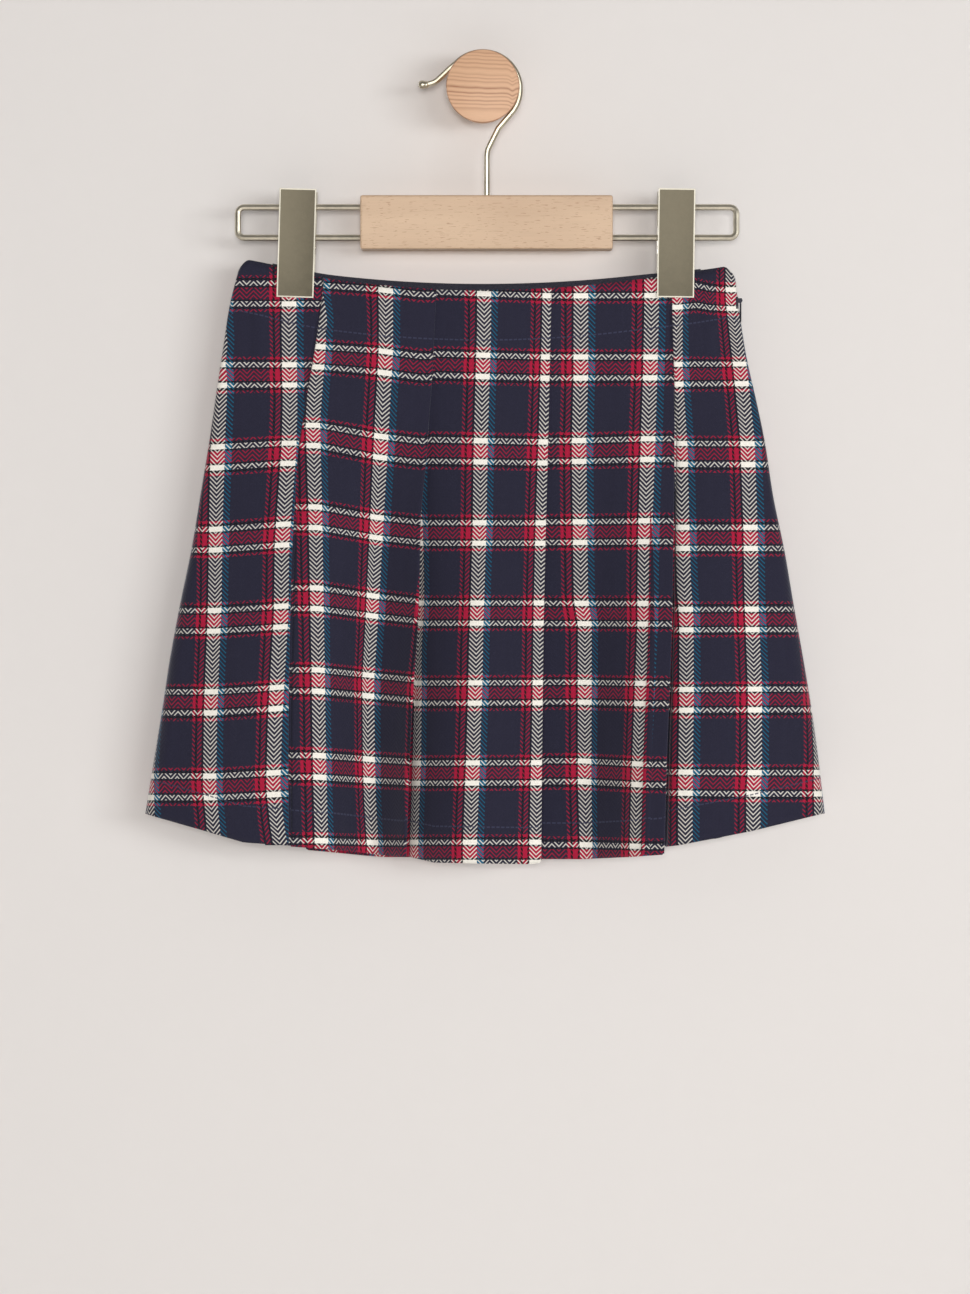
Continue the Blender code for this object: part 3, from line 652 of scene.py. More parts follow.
# %% Paths of the cloth, seen from above
LAPS = {"fold_a": (0.22, 0.33), "fold_d": (0.15, 0.26)}
COLUMNS = {"side_left": 34, "first_pleat": 40, "second_pleat": 52, "third_pleat": 40,
           "side_right": 56}
UNDER_LAP = (0.62, 0.95)   # where, across a panel, it dips under the lapped top beside it
UNDER_GAP = 1.3
RIGHT_FLAP = (7.0, 13.0)   # lengths of a flap before and after it has swung round
LEFT_FLAP = (9.0, 15.0)
FLAP_TURN = 0.6            # radius of the turned edge
SLIMMED = 0.85             # how much narrower a flap is half way through its swing
BACK_SHARES = (0.1, 0.25, 0.4, 0.55, 0.7, 0.85, 1.0)
UNDER_SHARES = (0.15, 0.32, 0.5, 0.68, 0.84)
TURN_STEPS = 7


def lap_of(fold, level):
    """0 where the right panel lies over the left one, 1 where the left lies over the right."""
    return ease(*LAPS[fold], level.share)


def stand_of(row, level, face, waist):
    """How far out a row of a table stands at one height."""
    return mix(waist, row.front_hem if face == "front" else row.back_hem, level.open)


def stand_row(panel, row, level, face):
    waist = row.waist
    if panel == "first_pleat":
        waist = mix(max(FLAT, waist), waist, lap_of("fold_a", level))
    if panel == "side_right":
        waist = mix(mix(FLAT, waist, row.across), waist, lap_of("fold_d", level))
    return stand_of(row, level, face, waist)


def reach_of(panel, level):
    roll = ROLL_START + mix(ROLL_WAIST, ROLL_HEM, level.open)
    left, right = EDGES[panel]
    start = level.side_left + roll if left == "side_left" else getattr(level, left)
    end = level.side_right - roll if right == "side_right" else getattr(level, right) - LAYER / 2.0
    return start, end


def visible_points(panel, level, face):
    left, right = reach_of(panel, level)
    stands = [(row.across, stand_row(panel, row, level, face)) for row in STANDS[panel]]
    under = None
    if panel in ("side_left", "third_pleat"):
        fold = EDGES[panel][1]
        neighbour = "first_pleat" if panel == "side_left" else "side_right"
        over = stand_row(neighbour, STANDS[neighbour][0], level, face)
        under, dips = over - UNDER_GAP, 1.0 - lap_of(fold, level)
    points = []
    count = COLUMNS[panel]
    for column in range(count):
        share = mix(stands[0][0], 1.0, column / (count - 1))
        out = curve(stands, share)
        if under is not None:
            out = mix(out, min(out, under), dips * ease(*UNDER_LAP, share))
        points.append((mix(left, right, share), out))
    return points


def behind(points, across):
    """How far out a layer may lie at most to stay behind another one."""
    ordered = sorted(points)
    near = (across - NEAR, across, across + NEAR)
    return min(held(ordered, there) for there in near) - LAYER


def heading(a, b):
    return math.atan2(b[1] - a[1], b[0] - a[0])


def swing(start, direction, angle, side, radius, steps):
    """Points of an arc that turns by an angle, to the left if side is 1, else to the right."""
    centre = (
        start[0] - side * radius * math.sin(direction),
        start[1] + side * radius * math.cos(direction),
    )
    points = []
    for step in range(1, steps + 1):
        now = direction + side * angle * step / steps
        points.append((
            centre[0] + side * radius * math.sin(now),
            centre[1] - side * radius * math.cos(now),
        ))
    return points, direction + side * angle


def flap(edge, direction, angle, side, length):
    """A turned edge and the flap behind it, which bends until it lies flat."""
    points, now = swing(edge, direction, angle, side, FLAP_TURN, TURN_STEPS - 1)
    flat = math.pi * round(now / math.pi)
    lies = min(2.0 * abs(math.cos(now)), 1.0)
    across, out = points[-1]
    for bend in (0.25, 0.7, 1.0):
        towards = mix(now, flat, bend * lies)
        across += length / 3.0 * math.cos(towards)
        out += length / 3.0 * math.sin(towards)
        points.append((across, out))
    return points


def slimmer(lap):
    """Half way through its swing a flap is narrow, so that it stays inside the skirt."""
    return 1.0 - SLIMMED * math.sin(math.pi * lap)


def right_flap(fold, top, level):
    lap = lap_of(fold, level)
    length = mix(*RIGHT_FLAP, lap) * slimmer(lap)
    return flap(top[-1], heading(top[-2], top[-1]), math.pi * lap, -1, length)


def left_flap(fold, top, level):
    lap = lap_of(fold, level)
    length = mix(*LEFT_FLAP, lap) * slimmer(lap)
    return flap(top[0], heading(top[1], top[0]), math.pi * (1.0 - lap), 1, length)[::-1]


def layer_behind(layer, start, goal, shares):
    points = []
    for share in shares:
        across = mix(start[0], goal[0], share)
        points.append((across, min(mix(start[1], goal[1], share), behind(layer, across))))
    return points


def knife_pleat(panel, top, goal, level, face):
    """From the tip of a panel's fold, behind it, round the inner fold and out to the next."""
    tip = top[-1]
    arriving = heading(top[-3], tip)
    inner = INNER_FOLDS[EDGES[panel][1]]
    out = stand_of(inner, level, face, inner.waist)
    drop = tip[1] - LAYER - out
    reach = math.sqrt(max(PLEAT_DEPTH ** 2 - drop ** 2, LEAST_REACH ** 2))
    start = (tip[0] + LAYER * math.sin(arriving), tip[1] - LAYER * math.cos(arriving))
    back = layer_behind(top, start, (tip[0] - reach, out + LAYER), BACK_SHARES)
    turn = (heading(start, back[0]) - arriving) % (2.0 * math.pi)
    path = swing(tip, arriving, 2.0 * math.pi - turn, -1, LAYER / 2.0, TURN_STEPS)[0] + back
    end = back[-1]
    under_start = (end[0], end[1] - LAYER)
    under = layer_behind(back, under_start, goal, UNDER_SHARES)
    arriving = heading(back[-2], end)
    turn = (heading(under_start, under[0]) - arriving) % (2.0 * math.pi)
    return path + swing(end, arriving, turn, 1, LAYER / 2.0, TURN_STEPS)[0] + under


def side_roll(edge, inward, first, level, face):
    """The cloth's round way from the side seam to where the panel's table begins."""
    seam = level.open * (-1.0 if face == "front" else 1.0)
    start = edge + inward * ROLL_START
    width = mix(ROLL_WAIST, ROLL_HEM, level.open)
    points = []
    for angle in range(0, 80, 10):
        turn = math.radians(angle)
        points.append((
            start + inward * width * (1.0 - math.cos(turn)),
            seam + SEAM_GAP / 2.0 + (first - seam - SEAM_GAP / 2.0) * math.sin(turn),
        ))
    return points


def tagged(panel, points):
    return [(point, panel) for point in points]


def left_path(level, face):
    top = visible_points("side_left", level, face)
    roll = side_roll(level.side_left, 1.0, top[0][1], level, face)
    return tagged("side_left", roll + top) + tagged(None, right_flap("fold_a", top, level))


def centre_path(level, face):
    pleats = ("first_pleat", "second_pleat", "third_pleat")
    first, second, third = (visible_points(panel, level, face) for panel in pleats)
    path = tagged(None, left_flap("fold_a", first, level)) + tagged("first_pleat", first)
    path += tagged(None, knife_pleat("first_pleat", first, second[0], level, face))
    path += tagged("second_pleat", second)
    path += tagged(None, knife_pleat("second_pleat", second, third[0], level, face))
    return path + tagged("third_pleat", third) + tagged(None, right_flap("fold_d", third, level))


def right_path(level, face):
    top = visible_points("side_right", level, face)
    roll = side_roll(level.side_right, -1.0, top[-1][1], level, face)[::-1]
    return tagged(None, left_flap("fold_d", top, level)) + tagged("side_right", top + roll)


# %% [markdown]
# ## From paths to cloth
# A grid is the natural start for woven cloth: its rows are the threads that run across and
# its columns the threads that run down. Each corner of the grid is moved to its place on the
# path, and the same corner gets its place in the check, so the stripes follow every fold.

# %% Heights and places


def waist_down(across, level, face):
    half = level.side_right if across > 0.0 else -level.side_left
    share = min(abs(across) / half, 1.0)
    middle, rise = (WAIST_MIDDLE, WAIST_RISE) if face == "front" else (BACK_MIDDLE, BACK_RISE)
    corner = max(share - CORNER_START, 0.0) / (1.0 - CORNER_START)
    seen_left = (across < 0.0) == (face == "front")
    crooked = (-LEFT_RAISED if seen_left else RIGHT_LOWERED) * ease(*CROOKED, share)
    return middle - rise * share ** 2 + CORNER_DROP * corner ** 2 + crooked


def mouth_bow(across, share):
    if abs(across) > MOUTH_HALF or share > MOUTH_FADE:
        return 0.0
    return MOUTH * (1.0 - share / MOUTH_FADE) ** 2 * (1.0 - (across / MOUTH_HALF) ** 2) ** 2


def arc_lengths(points):
    lengths = [0.0]
    for a, b in zip(points, points[1:]):
        lengths.append(lengths[-1] + math.dist(a, b))
    return lengths


TRUST = (-4.0, -0.5)   # how far past a panel's edge a stripe still places the check there


def stripe_place(panel, across_seen, lengths, down):
    """Millimetres of cloth across, for each point of a panel at one height."""
    order = sorted(zip(across_seen, lengths))
    low, high = order[0][0], order[-1][0]
    found = []
    for index, places in STRIPES[panel].items():
        across = held(places, down)
        trust = ease(*TRUST, min(across - low, high - across))
        found.append((index, held(order, across), trust))
    best = max(found, key=lambda anchor: anchor[2])
    anchors = []
    for index, length, trust in found:
        plain = best[1] + (index - best[0]) * DOWN_REPEAT
        anchors.append((mix(plain, length, trust), index * DOWN_REPEAT))
    first, last = anchors[0], anchors[-1]
    result = []
    for length in lengths:
        if length < first[0]:
            result.append(first[1] + length - first[0])
        elif length > last[0]:
            result.append(last[1] + length - last[0])
        else:
            result.append(straight(anchors, length))
    return result


def band_place(panel, across, down):
    """Millimetres of cloth down, from the red bands."""
    values = []
    for column, heights in BANDS[panel]:
        repeats = [(height, index * ACROSS_REPEAT) for index, height in enumerate(heights)]
        values.append((column, straight(repeats, down)))
    return held(values, across)


# %% One row of the cloth
Point = namedtuple("Point", "across out down panel shown edges")
Corner = namedtuple("Corner", "place cloth edges")


def row_points(path, level, face):
    """Gives each point of a path its height and its crease."""
    row = []
    near = next(panel for place, panel in path if panel)
    for (across, out), panel in path:
        near = panel or near
        waist = waist_down(across, level, face)
        if face == "front":
            out += mouth_bow(across, level.share)
        waist = placed(waist, EYE_DOWN, out if face == "front" else -out)
        hem = placed(held(HEMS[near], across), EYE_DOWN, out)
        if panel is None:
            hem -= HEM_TUCK
        down = mix(waist, hem, level.share)
        if panel:
            out += crease_height(face, across, down)
        edges = (down - waist, hem - down)
        row.append(Point(across, out, down, near, panel is not None, edges))
    return row


def fill_hidden(values, known, lengths):
    """Gives the hidden stretches of a row values that run on from the shown ones."""
    for k in sorted(set(range(len(values))) - set(known)):
        left = max((j for j in known if j < k), default=None)
        right = min((j for j in known if j > k), default=None)
        if left is None:
            values[k] = values[right] - (lengths[right] - lengths[k])
        elif right is None:
            values[k] = values[left] + (lengths[k] - lengths[left])
        else:
            span = lengths[right] - lengths[left]
            gap = values[right] - values[left]
            repeats = round((span - gap) / DOWN_REPEAT)
            values[k] = mix(values[left], values[right] + repeats * DOWN_REPEAT,
                            (lengths[k] - lengths[left]) / span)
    return values


def row_stripes(row, lengths):
    """Millimetres of cloth across, for each point of a row."""
    stripes = [0.0] * len(row)
    known = [k for k, point in enumerate(row) if point.shown]
    last = None
    for panel in dict.fromkeys(row[k].panel for k in known):
        columns = [k for k in known if row[k].panel == panel]
        across_seen = [seen(row[k].across, EYE_ACROSS, row[k].out) for k in columns]
        middle = seen(row[columns[len(columns) // 2]].down, EYE_DOWN, row[columns[0]].out)
        found = stripe_place(panel, across_seen, [lengths[k] for k in columns], middle)
        # Panels further right start more repeats on, so that a row always runs onwards
        offset = 0.0
        if last is not None:
            expected = stripes[last] + lengths[columns[0]] - lengths[last]
            offset = round((expected - found[0]) / DOWN_REPEAT) * DOWN_REPEAT
        for k, value in zip(columns, found):
            stripes[k] = value + offset
        last = columns[-1]
    return fill_hidden(stripes, known, lengths)


def cloth_row(path, level, face):
    row = row_points(path, level, face)
    stripes = row_stripes(row, arc_lengths([place for place, panel in path]))
    side = 1.0 if face == "front" else -1.0
    corners = []
    for point, stripe in zip(row, stripes):
        across = seen(point.across, EYE_ACROSS, point.out)
        band = band_place(point.panel, across, seen(point.down, EYE_DOWN, point.out))
        out = HANG_PLANE + side * point.out
        place = (side * point.across * MM, -out * MM, -point.down * MM)
        corners.append(Corner(place, (stripe, band), point.edges))
    return corners


# %% Making a panel from a grid
ROWS = 84


def only(piece):
    """Makes one piece the only selected one, because an operator acts on all that is selected."""
    bpy.ops.object.select_all(action="DESELECT")
    piece.select_set(True)
    bpy.context.view_layer.objects.active = piece


def write_map(mesh, name, values):
    layer = mesh.uv_layers.get(name) or mesh.uv_layers.new(name=name)
    for loop in mesh.loops:
        layer.data[loop.index].uv = values[loop.vertex_index]


def cloth_grid(name, rows):
    bpy.ops.object.select_all(action="DESELECT")
    bpy.ops.mesh.primitive_grid_add(
        x_subdivisions=len(rows[0]) - 1, y_subdivisions=len(rows) - 1, size=1.0, calc_uvs=False
    )
    piece = bpy.context.object
    piece.name = name
    piece.data.name = name
    corners = [corner for row in reversed(rows) for corner in row]
    assert len(corners) == len(piece.data.vertices), (len(corners), len(piece.data.vertices))
    for vertex, corner in zip(piece.data.vertices, corners):
        vertex.co = corner.place
    write_map(piece.data, "cloth", [corner.cloth for corner in corners])
    write_map(piece.data, "edges", [corner.edges for corner in corners])
    return piece


def thicken(piece, thickness):
    only(piece)
    bpy.ops.object.shade_smooth()
    solid = piece.modifiers.new("Thickness", "SOLIDIFY")
    solid.thickness = thickness * MM
    solid.offset = 0.0
    bpy.ops.object.modifier_apply(modifier=solid.name)


def measure(piece):
    """Area of one side of a thin piece, in square metres."""
    return sum(face.area for face in piece.data.polygons) / 2.0


def finish_piece(piece, material, slot, *stands_for):
    piece.data.materials.clear()
    piece.data.materials.append(material)
    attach(piece, BODY)
    if stands_for:
        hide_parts(*stands_for)
    return piece


# %% The six panels of the skirt
SIDE_CUT = (0.110, 0.335)      # metres of flat cloth, across and down
CENTRE_CUT = (0.400, 0.345)
Piece = namedtuple("Piece", "name face path stands_for cut")
PIECES = rows_of(Piece, [
    ("skirt_front_left", "front", left_path, "front_side_left", SIDE_CUT),
    ("skirt_front_centre", "front", centre_path, "front_centre", CENTRE_CUT),
    ("skirt_front_right", "front", right_path, "front_side_right", SIDE_CUT),
    ("skirt_back_right", "back", left_path, "back_side_right", SIDE_CUT),
    ("skirt_back_centre", "back", centre_path, "back_centre", CENTRE_CUT),
    ("skirt_back_left", "back", right_path, "back_side_left", SIDE_CUT),
])
levels = [level_at(row / (ROWS - 1)) for row in range(ROWS)]
for piece in PIECES:
    used = levels if piece.face == "front" else [turned(level) for level in levels]
    rows = [cloth_row(piece.path(level, piece.face), level, piece.face) for level in used]
    panel = cloth_grid(piece.name, rows)
    thicken(panel, CLOTH)
    finish_piece(panel, TWILL, "check_twill", piece.stands_for)
    area = measure(panel)
    width, length = piece.cut
    print(piece.name, "one side", round(area, 4), "m2 of", width * length)
    min(area, width * length)

# %% [markdown]
# ## The facing
# Inside the back of the waist runs a plain dark strip. It shows as a thin line above the
# front edge, which sags a little between the clips.

# %% The facing


def make_plain_cloth():
    material, tree, shader = start_material(
        "plain navy facing", Roughness=0.85, Specular_IOR_Level=0.2,
        Sheen_Weight=0.2, Sheen_Roughness=0.5
    )
    grain = streaks(object_place(tree), (900.0, 900.0, 2600.0))
    colour = colour_steps(grain, [(0.3, dye(32, 32, 42)), (0.75, dye(60, 59, 70))])
    feed(shader.inputs["Base Color"], colour)
    relief(shader, grain, 0.0002, 0.4)
    return material


FACING_HEIGHT = 26.0
FACING_ABOVE = 0.7     # how far it stands above the twill
FACING_REACH = 0.93    # how much of the waist it spans, from one end
FACING_CLOTH = 0.8     # its thickness
FACING_ROWS = 9
FACING_COLUMNS = 61
waist_level = turned(levels[0])
rows = []
for step in range(FACING_ROWS):
    row = []
    depth = mix(-FACING_ABOVE, FACING_HEIGHT, step / (FACING_ROWS - 1))
    for column in range(FACING_COLUMNS):
        reach = mix(1.0 - FACING_REACH, FACING_REACH, column / (FACING_COLUMNS - 1))
        across = mix(-waist_level.side_right, -waist_level.side_left, reach)
        down = placed(waist_down(-across, waist_level, "back"), EYE_DOWN, 0.0) + depth
        place = (across * MM, -HANG_PLANE * MM, -down * MM)
        row.append(Corner(place, (across, depth), (depth, 0.0)))
    rows.append(row)
facing = cloth_grid("waist_strip", rows)
thicken(facing, FACING_CLOTH)
finish_piece(facing, make_plain_cloth(), "plain_navy", "waist_facing")

# %% [markdown]
# ## Wood and metal
# The bar, rail and hook of the hanger are already the right shape. They only need the look of
# what they are made of: pale beech with short dark flecks, and nickel that is a little cloudy,
# as brushed and dulled metal is. The peg, which is turned further down, gets pine with wavy
# growth lines.

# %% Beech, pine and nickel


def make_beech():
    material, tree, shader = start_material("beech", Roughness=0.55, Specular_IOR_Level=0.35)
    place = object_place(tree)
    cloud = streaks(place, (9.0, 40.0, 40.0), 3.0)
    colour = colour_steps(cloud, [(0.3, dye(194, 165, 137)), (0.7, dye(210, 182, 153))])
    fleck = streaks(place, (230.0, 1900.0, 1900.0), 1.0, 0.4).step("GREATER_THAN", 0.655)
    colour = blend_colours(fleck * 0.5, colour, dye(150, 108, 80))
    fibre = streaks(place, (60.0, 3200.0, 3200.0))
    feed(shader.inputs["Base Color"], shaded(colour, fibre * 0.16 + 0.92))
    relief(shader, fibre, 0.0001, 0.25)
    return material


Ring = namedtuple("Ring", "height dark")
RINGS = rows_of(Ring, [    # growth lines of the peg, in millimetres from its middle
    (-20.6, 0.15), (-12.7, 0.5), (-10.5, 0.7), (-8.4, 0.85), (-5.9, 0.7),
    (-4.0, 1.0), (-0.9, 1.0), (2.8, 0.55), (4.7, 0.6), (6.6, 0.4),
    (10.7, 0.5), (13.1, 0.65), (15.3, 0.55), (17.3, 0.5), (18.9, 0.6),
])
RING_SPAN = 50.0
RING_SHIFT = 1.5       # how far the wandering of the lines lifts them on average
LAST_RING = 2.0        # after which the last line has faded
SHARPNESS = 2.2
KINK_ACROSS = 17.2     # where the lines bend upwards, as beside a knot
KINK_WIDTH = 1.7
PEG_RIM = 20.7


def make_pine():
    material, tree, shader = start_material("pine", Roughness=0.5, Specular_IOR_Level=0.35)
    place = object_place(tree)
    across, _, up = (part * 1000.0 for part in parts_of(place))
    off = (across - KINK_ACROSS) / KINK_WIDTH
    kink = (off * off * -1.0).step("EXPONENT")
    height = up + streaks(place, (40.0, 10.0, 26.0)) * 3.0 + across * 0.03 + kink * 1.4

    def grey(at, level):
        return (at + RING_SHIFT) / RING_SPAN + 0.5, (level, level, level, 1.0)

    stops = [(0.0, (0.0, 0.0, 0.0, 1.0))]
    end = Ring(RINGS[-1].height + 2.0 * LAST_RING, 0.0)
    for ring, following in zip(RINGS, RINGS[1:] + [end]):
        stops.append(grey(ring.height, ring.dark ** (1.0 / SHARPNESS)))
        stops.append(grey((ring.height + following.height) / 2.0, 0.0))
    line = colour_steps(height / RING_SPAN + 0.5, stops).step("POWER", SHARPNESS)
    fibre = streaks(place, (150.0, 150.0, 2600.0))
    colour = blend_colours(line * (fibre + 0.4), dye(212, 170, 136), dye(150, 102, 72))
    # Painted shade: the sharp rim of the head is made darker
    rim = (across * across + up * up).step("SQRT").step("GREATER_THAN", PEG_RIM)
    colour = blend_colours(rim * 0.5, colour, dye(140, 96, 70))
    feed(shader.inputs["Base Color"], shaded(colour, fibre * 0.2 + 0.89))
    relief(shader, fibre, 0.0001, 0.25)
    return material


def make_nickel(name, colour, roughness, metallic=1.0):
    material, tree, shader = start_material(name, Metallic=metallic)
    place = object_place(tree)
    cloud = spots(place, 160.0, 4.0, 0.6)
    dark = tuple(0.8 * part for part in colour[:3]) + (1.0,)
    feed(shader.inputs["Base Color"], colour_steps(cloud, [(0.35, dark), (0.65, colour)]))
    feed(shader.inputs["Roughness"], cloud * 0.16 + roughness)
    relief(shader, spots(place, 1500.0), 0.00005, 0.3)
    return material


BEECH = make_beech()
PINE = make_pine()
NICKEL = make_nickel("satin nickel", dye(204, 196, 174), 0.26)
# Painted light: the rail and the pins get a copy of the nickel whose colour is tuned to how light
# they look, a little lighter than the hook's
LIT_RAIL_NICKEL = make_nickel("darker rail nickel", dye(208, 200, 181), 0.3)
# Painted dark reflection: the broad faces of the clips get a dull nickel darkened to stand for the
# dark room they reflect
FACE_NICKEL_DARKENED = make_nickel("dull nickel face", dye(106, 100, 85), 0.48)
# Painted highlight: the rims and sides of the clips get a bright, nearly plain nickel in place of
# the light they catch
EDGE_NICKEL_HIGHLIGHT = make_nickel("bright nickel edge", dye(205, 199, 181), 0.35, 0.15)
DARK_METAL = make_nickel("dark zip metal", dye(44, 44, 50), 0.4)
nodes["hanger_hook"].data.materials[0] = NICKEL
nodes["hanger_rail"].data.materials[0] = LIT_RAIL_NICKEL
nodes["hanger_bar"].data.materials[0] = BEECH

# %% [markdown]
# ## Softened edges
# The jaws of a clip are pressed from sheet metal: the broad face is sunk a little. Its rim and
# sides get a bright, nearly plain nickel, a painted highlight, and the broad face a darkened dull
# nickel, a painted dark reflection. That thin painted highlight is what makes metal look like
# metal. A copy of each plate is merged, its flat faces are made whole again, the broad face is
# inset and sunk, and a small bevel softens the edges. The clips also lean a little, as on the
# real one.

# %% The clips
BROAD = 120.0          # square millimetres; only the two broad parts of a plate's face have more
RIM = 0.75
RIM_DEPTH = 0.15
PLATE_BEVEL = 0.25
PIN_BEVEL = 0.2
BEVEL_ANGLE = math.radians(40.0)
SMOOTH_ANGLE = math.radians(35.0)


def merged_copy(node, name, materials):
    only(nodes[node])
    bpy.ops.object.duplicate()
    piece = bpy.context.object
    piece.name = name
    piece.data.name = name
    piece.parent = None
    bpy.ops.object.mode_set(mode="EDIT")
    bpy.ops.mesh.select_all(action="SELECT")
    bpy.ops.mesh.remove_doubles(threshold=0.00001)
    bpy.ops.mesh.dissolve_limited(angle_limit=math.radians(0.6))
    bpy.ops.object.mode_set(mode="OBJECT")
    piece.data.materials.clear()
    for material in materials:
        piece.data.materials.append(material)
    return piece


def add_rim(piece, outward):
    """Sinks the broad face of a plate, and gives its rim and sides the bright edge material, a
    painted highlight.
    """
    bpy.ops.object.mode_set(mode="EDIT")
    bpy.ops.mesh.select_all(action="DESELECT")
    shape = bmesh.from_edit_mesh(piece.data)
    for face in shape.faces:
        broad = face.calc_area() > BROAD * MM * MM
        face.select_set(broad and face.normal.y * outward > 0.9)
    bmesh.update_edit_mesh(piece.data)
    bpy.ops.mesh.inset(thickness=RIM * MM, depth=-RIM_DEPTH * MM)
    shape = bmesh.from_edit_mesh(piece.data)
    for face in shape.faces:
        # Painted highlight: the rim and the sides get the bright edge material
        if abs(face.normal.y) < 0.9 or not face.select:
            face.material_index = 1
    bmesh.update_edit_mesh(piece.data)
    bpy.ops.object.mode_set(mode="OBJECT")


def soften(piece, width, node, lean):
    """Bevels the edges, leans the piece about its middle, and puts it in its node's place."""
    bevel = piece.modifiers.new("Soft edges", "BEVEL")
    bevel.width = width * MM
    bevel.segments = 2
    bevel.limit_method = "ANGLE"
    bevel.angle_limit = BEVEL_ANGLE
    only(piece)
    bpy.ops.object.modifier_apply(modifier=bevel.name)
    low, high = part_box(node)
    middle = (Vector(low) + Vector(high)) / 2.0
    turn = Matrix.Rotation(math.radians(lean.tilt), 4, "Y")
    moved = middle + Vector((lean.across * MM, 0.0, lean.up * MM))
    piece.data.transform(Matrix.Translation(moved) @ turn @ Matrix.Translation(-middle))
    bpy.ops.object.shade_smooth_by_angle(angle=SMOOTH_ANGLE)
    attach(piece, BODY)
    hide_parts(node)
    print(piece.name, len(piece.data.polygons), "faces")


Lean = namedtuple("Lean", "tilt across up")
LEANS = {"left": Lean(1.7, -1.2, 0.8), "right": Lean(0.7, 0.0, 0.8)}
for side, lean in LEANS.items():
    for part, outward in (("front", -1.0), ("back", 1.0)):
        node = "clip_%s_%s" % (side, part)
        plate = merged_copy(node, "%s_clip_%s" % (side, part), [FACE_NICKEL_DARKENED, EDGE_NICKEL_HIGHLIGHT])
        add_rim(plate, outward)
        soften(plate, PLATE_BEVEL, node, lean)
    node = "clip_%s_pin" % side
    pin = merged_copy(node, "%s_clip_pin" % side, [LIT_RAIL_NICKEL])
    soften(pin, PIN_BEVEL, node, lean)

# %% [markdown]
# The peg is turned on a lathe: a flat round head, and a neck that grows thinner towards the
# wall, so that from the front only the head shows. The tip of the hook ends in a small knob.
# For both, a disc is extruded along its axis and resized at each place where a turner's tool
# would stop.

# %% Turned pieces
Turned = namedtuple("Turned", "along radius")
TURNS = {"x": (0.0, math.radians(90.0), 0.0), "y": (math.radians(90.0), 0.0, 0.0)}


def turn_piece(name, axis, centre, profile, corners):
    k = "xyz".index(axis)
    first = profile[0]
    start = list(centre)
    start[k] += first.along * MM
    bpy.ops.object.select_all(action="DESELECT")
    bpy.ops.mesh.primitive_circle_add(
        vertices=corners, radius=first.radius * MM, fill_type="NGON", enter_editmode=True,
        location=start, rotation=TURNS[axis]
    )
    piece = bpy.context.object
    piece.name = name
    piece.data.name = name
    for before, after in zip(profile, profile[1:]):
        step, sizes = [0.0] * 3, [after.radius / before.radius] * 3
        step[k] = (after.along - before.along) * MM
        sizes[k] = 1.0
        bpy.ops.mesh.extrude_region_move(TRANSFORM_OT_translate={"value": step})
        bpy.ops.transform.resize(value=sizes)
    bpy.ops.mesh.select_all(action="SELECT")
    bpy.ops.mesh.normals_make_consistent(inside=False)
    bpy.ops.object.mode_set(mode="OBJECT")
    bpy.ops.object.transform_apply(location=True, rotation=True, scale=True)
    only(piece)
    bpy.ops.object.shade_smooth_by_angle(angle=SMOOTH_ANGLE)
    return piece


PEG_PROFILE = rows_of(Turned, [
    (-45.3, 20.5), (-45.1, 21.0), (-44.5, 21.3), (-34.4, 20.0),
    (-34.2, 19.7), (-29.5, 19.5), (-12.0, 16.6), (0.0, 14.6),
])
KNOB_PROFILE = rows_of(Turned, [
    (-2.4, 0.8), (-2.2, 1.5), (-1.4, 2.2), (-0.2, 2.5), (0.9, 2.3), (1.7, 1.75),
])
PEG_CORNERS = 96
KNOB_CORNERS = 24
TIP = 0.3              # how much of the hook's end counts as its tip
peg = turn_piece("round_peg", "y", (0.0, 0.0, 0.0), PEG_PROFILE, PEG_CORNERS)
finish_piece(peg, PINE, "pine", "wall_peg")
hook_points = [vertex.co for vertex in nodes["hanger_hook"].data.vertices]
hook_end = min(point.x for point in hook_points) + TIP * MM
tip_points = [point for point in hook_points if point.x < hook_end]
tip = sum(tip_points, Vector()) / len(tip_points)
print("hook tip:", [round(value * 1000.0, 2) for value in tip])
knob = turn_piece("hook_knob", "x", tip, KNOB_PROFILE, KNOB_CORNERS)
finish_piece(knob, NICKEL, "satin_nickel")

# %% The zip's metal
nodes["zip_slider"].data.materials[0] = DARK_METAL
nodes["zip_pull"].data.materials[0] = DARK_METAL

# %% [markdown]
# ## Wall, floor, light and camera
# The wall and the floor only receive the soft shadow and aren't part of the object. Seen
# from behind, the wall lets the view through, so that the back of the skirt can be studied.
# It also lets the light of a weak lamp behind it reach the back of the skirt.

# %% Wall and floor


def add_sheet_of_room(name, size, place, turn):
    bpy.ops.object.select_all(action="DESELECT")
    bpy.ops.mesh.primitive_plane_add(size=size, location=place, rotation=turn)
    made = bpy.context.object
    made.name = name
    return made


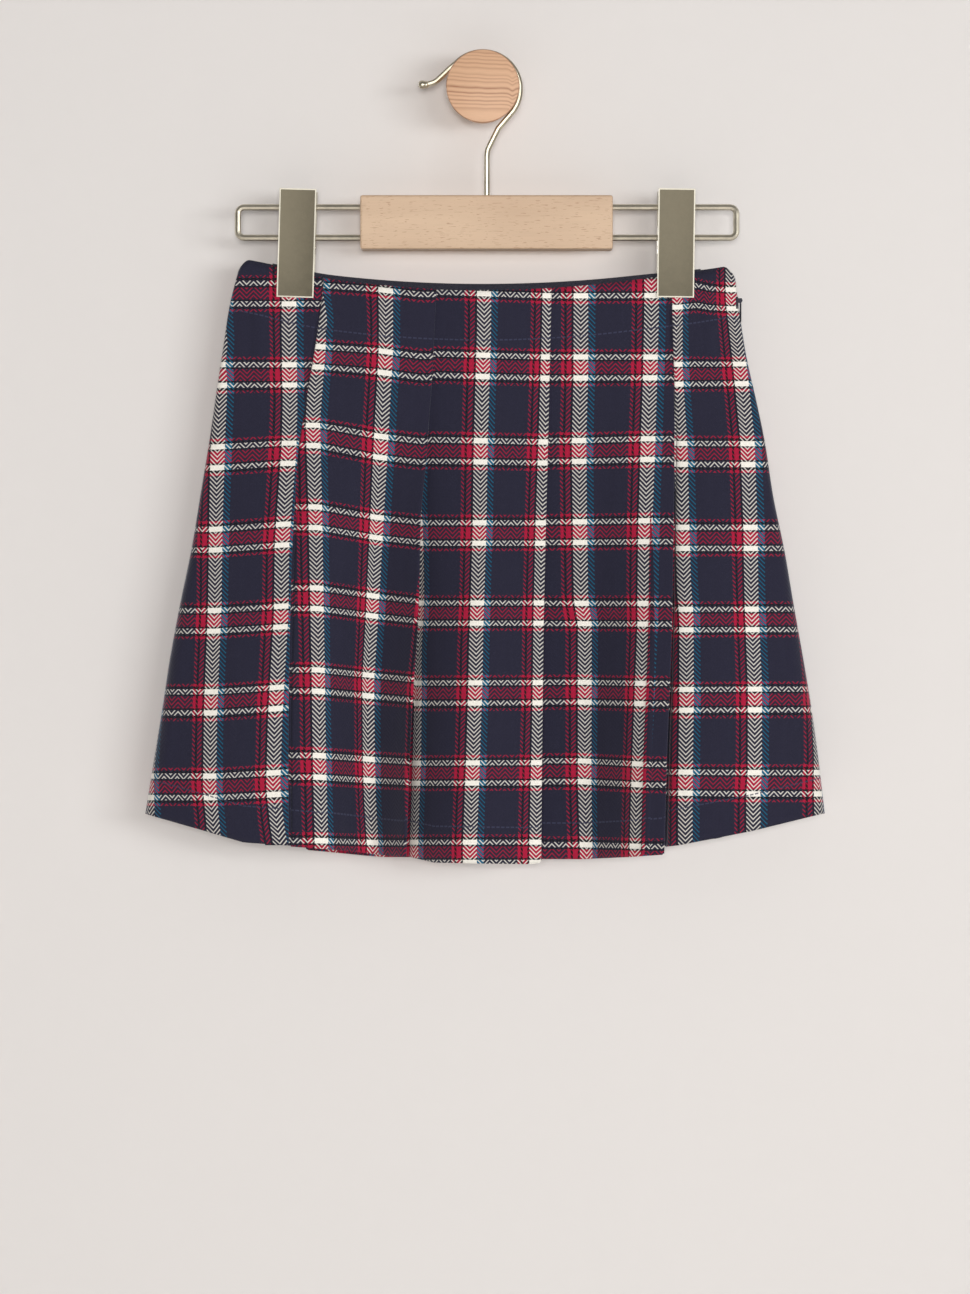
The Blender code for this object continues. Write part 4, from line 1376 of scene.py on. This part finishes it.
WALL_BEHIND = 0.0008   # metres, so that the wall doesn't flicker on the peg's back face
FLOOR_LEVEL = -1.1
UPRIGHT = (math.radians(90.0), 0.0, 0.0)
wall = add_sheet_of_room("room_wall", 6.0, (0.0, WALL_BEHIND, 0.0), UPRIGHT)
plaster, tree, shader = start_material(
    "pale plaster", Roughness=0.95, Specular_IOR_Level=0.1, Base_Color=(0.72, 0.69, 0.665, 1.0)
)
from_behind = Value(tree.nodes.new("ShaderNodeNewGeometry").outputs["Backfacing"])
shadow_ray = Value(tree.nodes.new("ShaderNodeLightPath").outputs["Is Shadow Ray"])
clear = Value(tree.nodes.new("ShaderNodeBsdfTransparent").outputs[0])
choice = {0: from_behind.step("MAXIMUM", shadow_ray), 1: Value(shader.outputs[0]), 2: clear}
surface = fed(tree.nodes.new("ShaderNodeMixShader"), choice)
feed(tree.nodes["Material Output"].inputs["Surface"], surface)
wall.data.materials.append(plaster)

floor = add_sheet_of_room("room_floor", 8.0, (0.0, 0.0, FLOOR_LEVEL), (0.0, 0.0, 0.0))
pale, tree, shader = start_material("pale floor", Roughness=0.9, Base_Color=(0.7, 0.68, 0.66, 1.0))
floor.data.materials.append(pale)

# %% Light
LIT = Vector((0.0, 0.0, -0.25))    # where all the lamps look
Lamp = namedtuple("Lamp", "name place width height power colour")
LAMPS = rows_of(Lamp, [
    ("window", (1.6, -2.9, -0.1), 2.0, 0.6, 41.0, (0.965, 0.982, 1.0)),
    ("fill", (0.0, -3.2, -0.28), 0.4, 0.4, 44.0, (1.0, 0.983, 0.975)),
    ("behind", (-0.9, 2.6, 0.2), 1.6, 1.2, 50.0, (1.0, 0.99, 0.98)),
])
for lamp in LAMPS:
    data = bpy.data.lights.new(lamp.name, "AREA")
    data.shape = "RECTANGLE"
    data.size = lamp.width
    data.size_y = lamp.height
    data.energy = lamp.power
    data.color = lamp.colour
    made = bpy.data.objects.new(lamp.name, data)
    bpy.context.scene.collection.objects.link(made)
    made.location = lamp.place
    made.rotation_euler = (LIT - Vector(lamp.place)).to_track_quat("-Z", "Y").to_euler()
world = bpy.data.worlds.new("room light")
bpy.context.scene.world = world
world.use_nodes = True
world.node_tree.nodes["Background"].inputs[0].default_value = (0.94, 0.92, 0.91, 1.0)
world.node_tree.nodes["Background"].inputs[1].default_value = 0.22

# %% Camera
camera_data = bpy.data.cameras.new("camera")
camera_data.lens = 103.6
camera_data.clip_end = 20.0
camera = bpy.data.objects.new("camera", camera_data)
bpy.context.scene.collection.objects.link(camera)
camera.location = (EYE_ACROSS * MM, -EYE_AWAY * MM, -EYE_DOWN * MM)
camera.rotation_euler = UPRIGHT
bpy.context.scene.camera = camera
bpy.context.scene.view_settings.view_transform = "Standard"
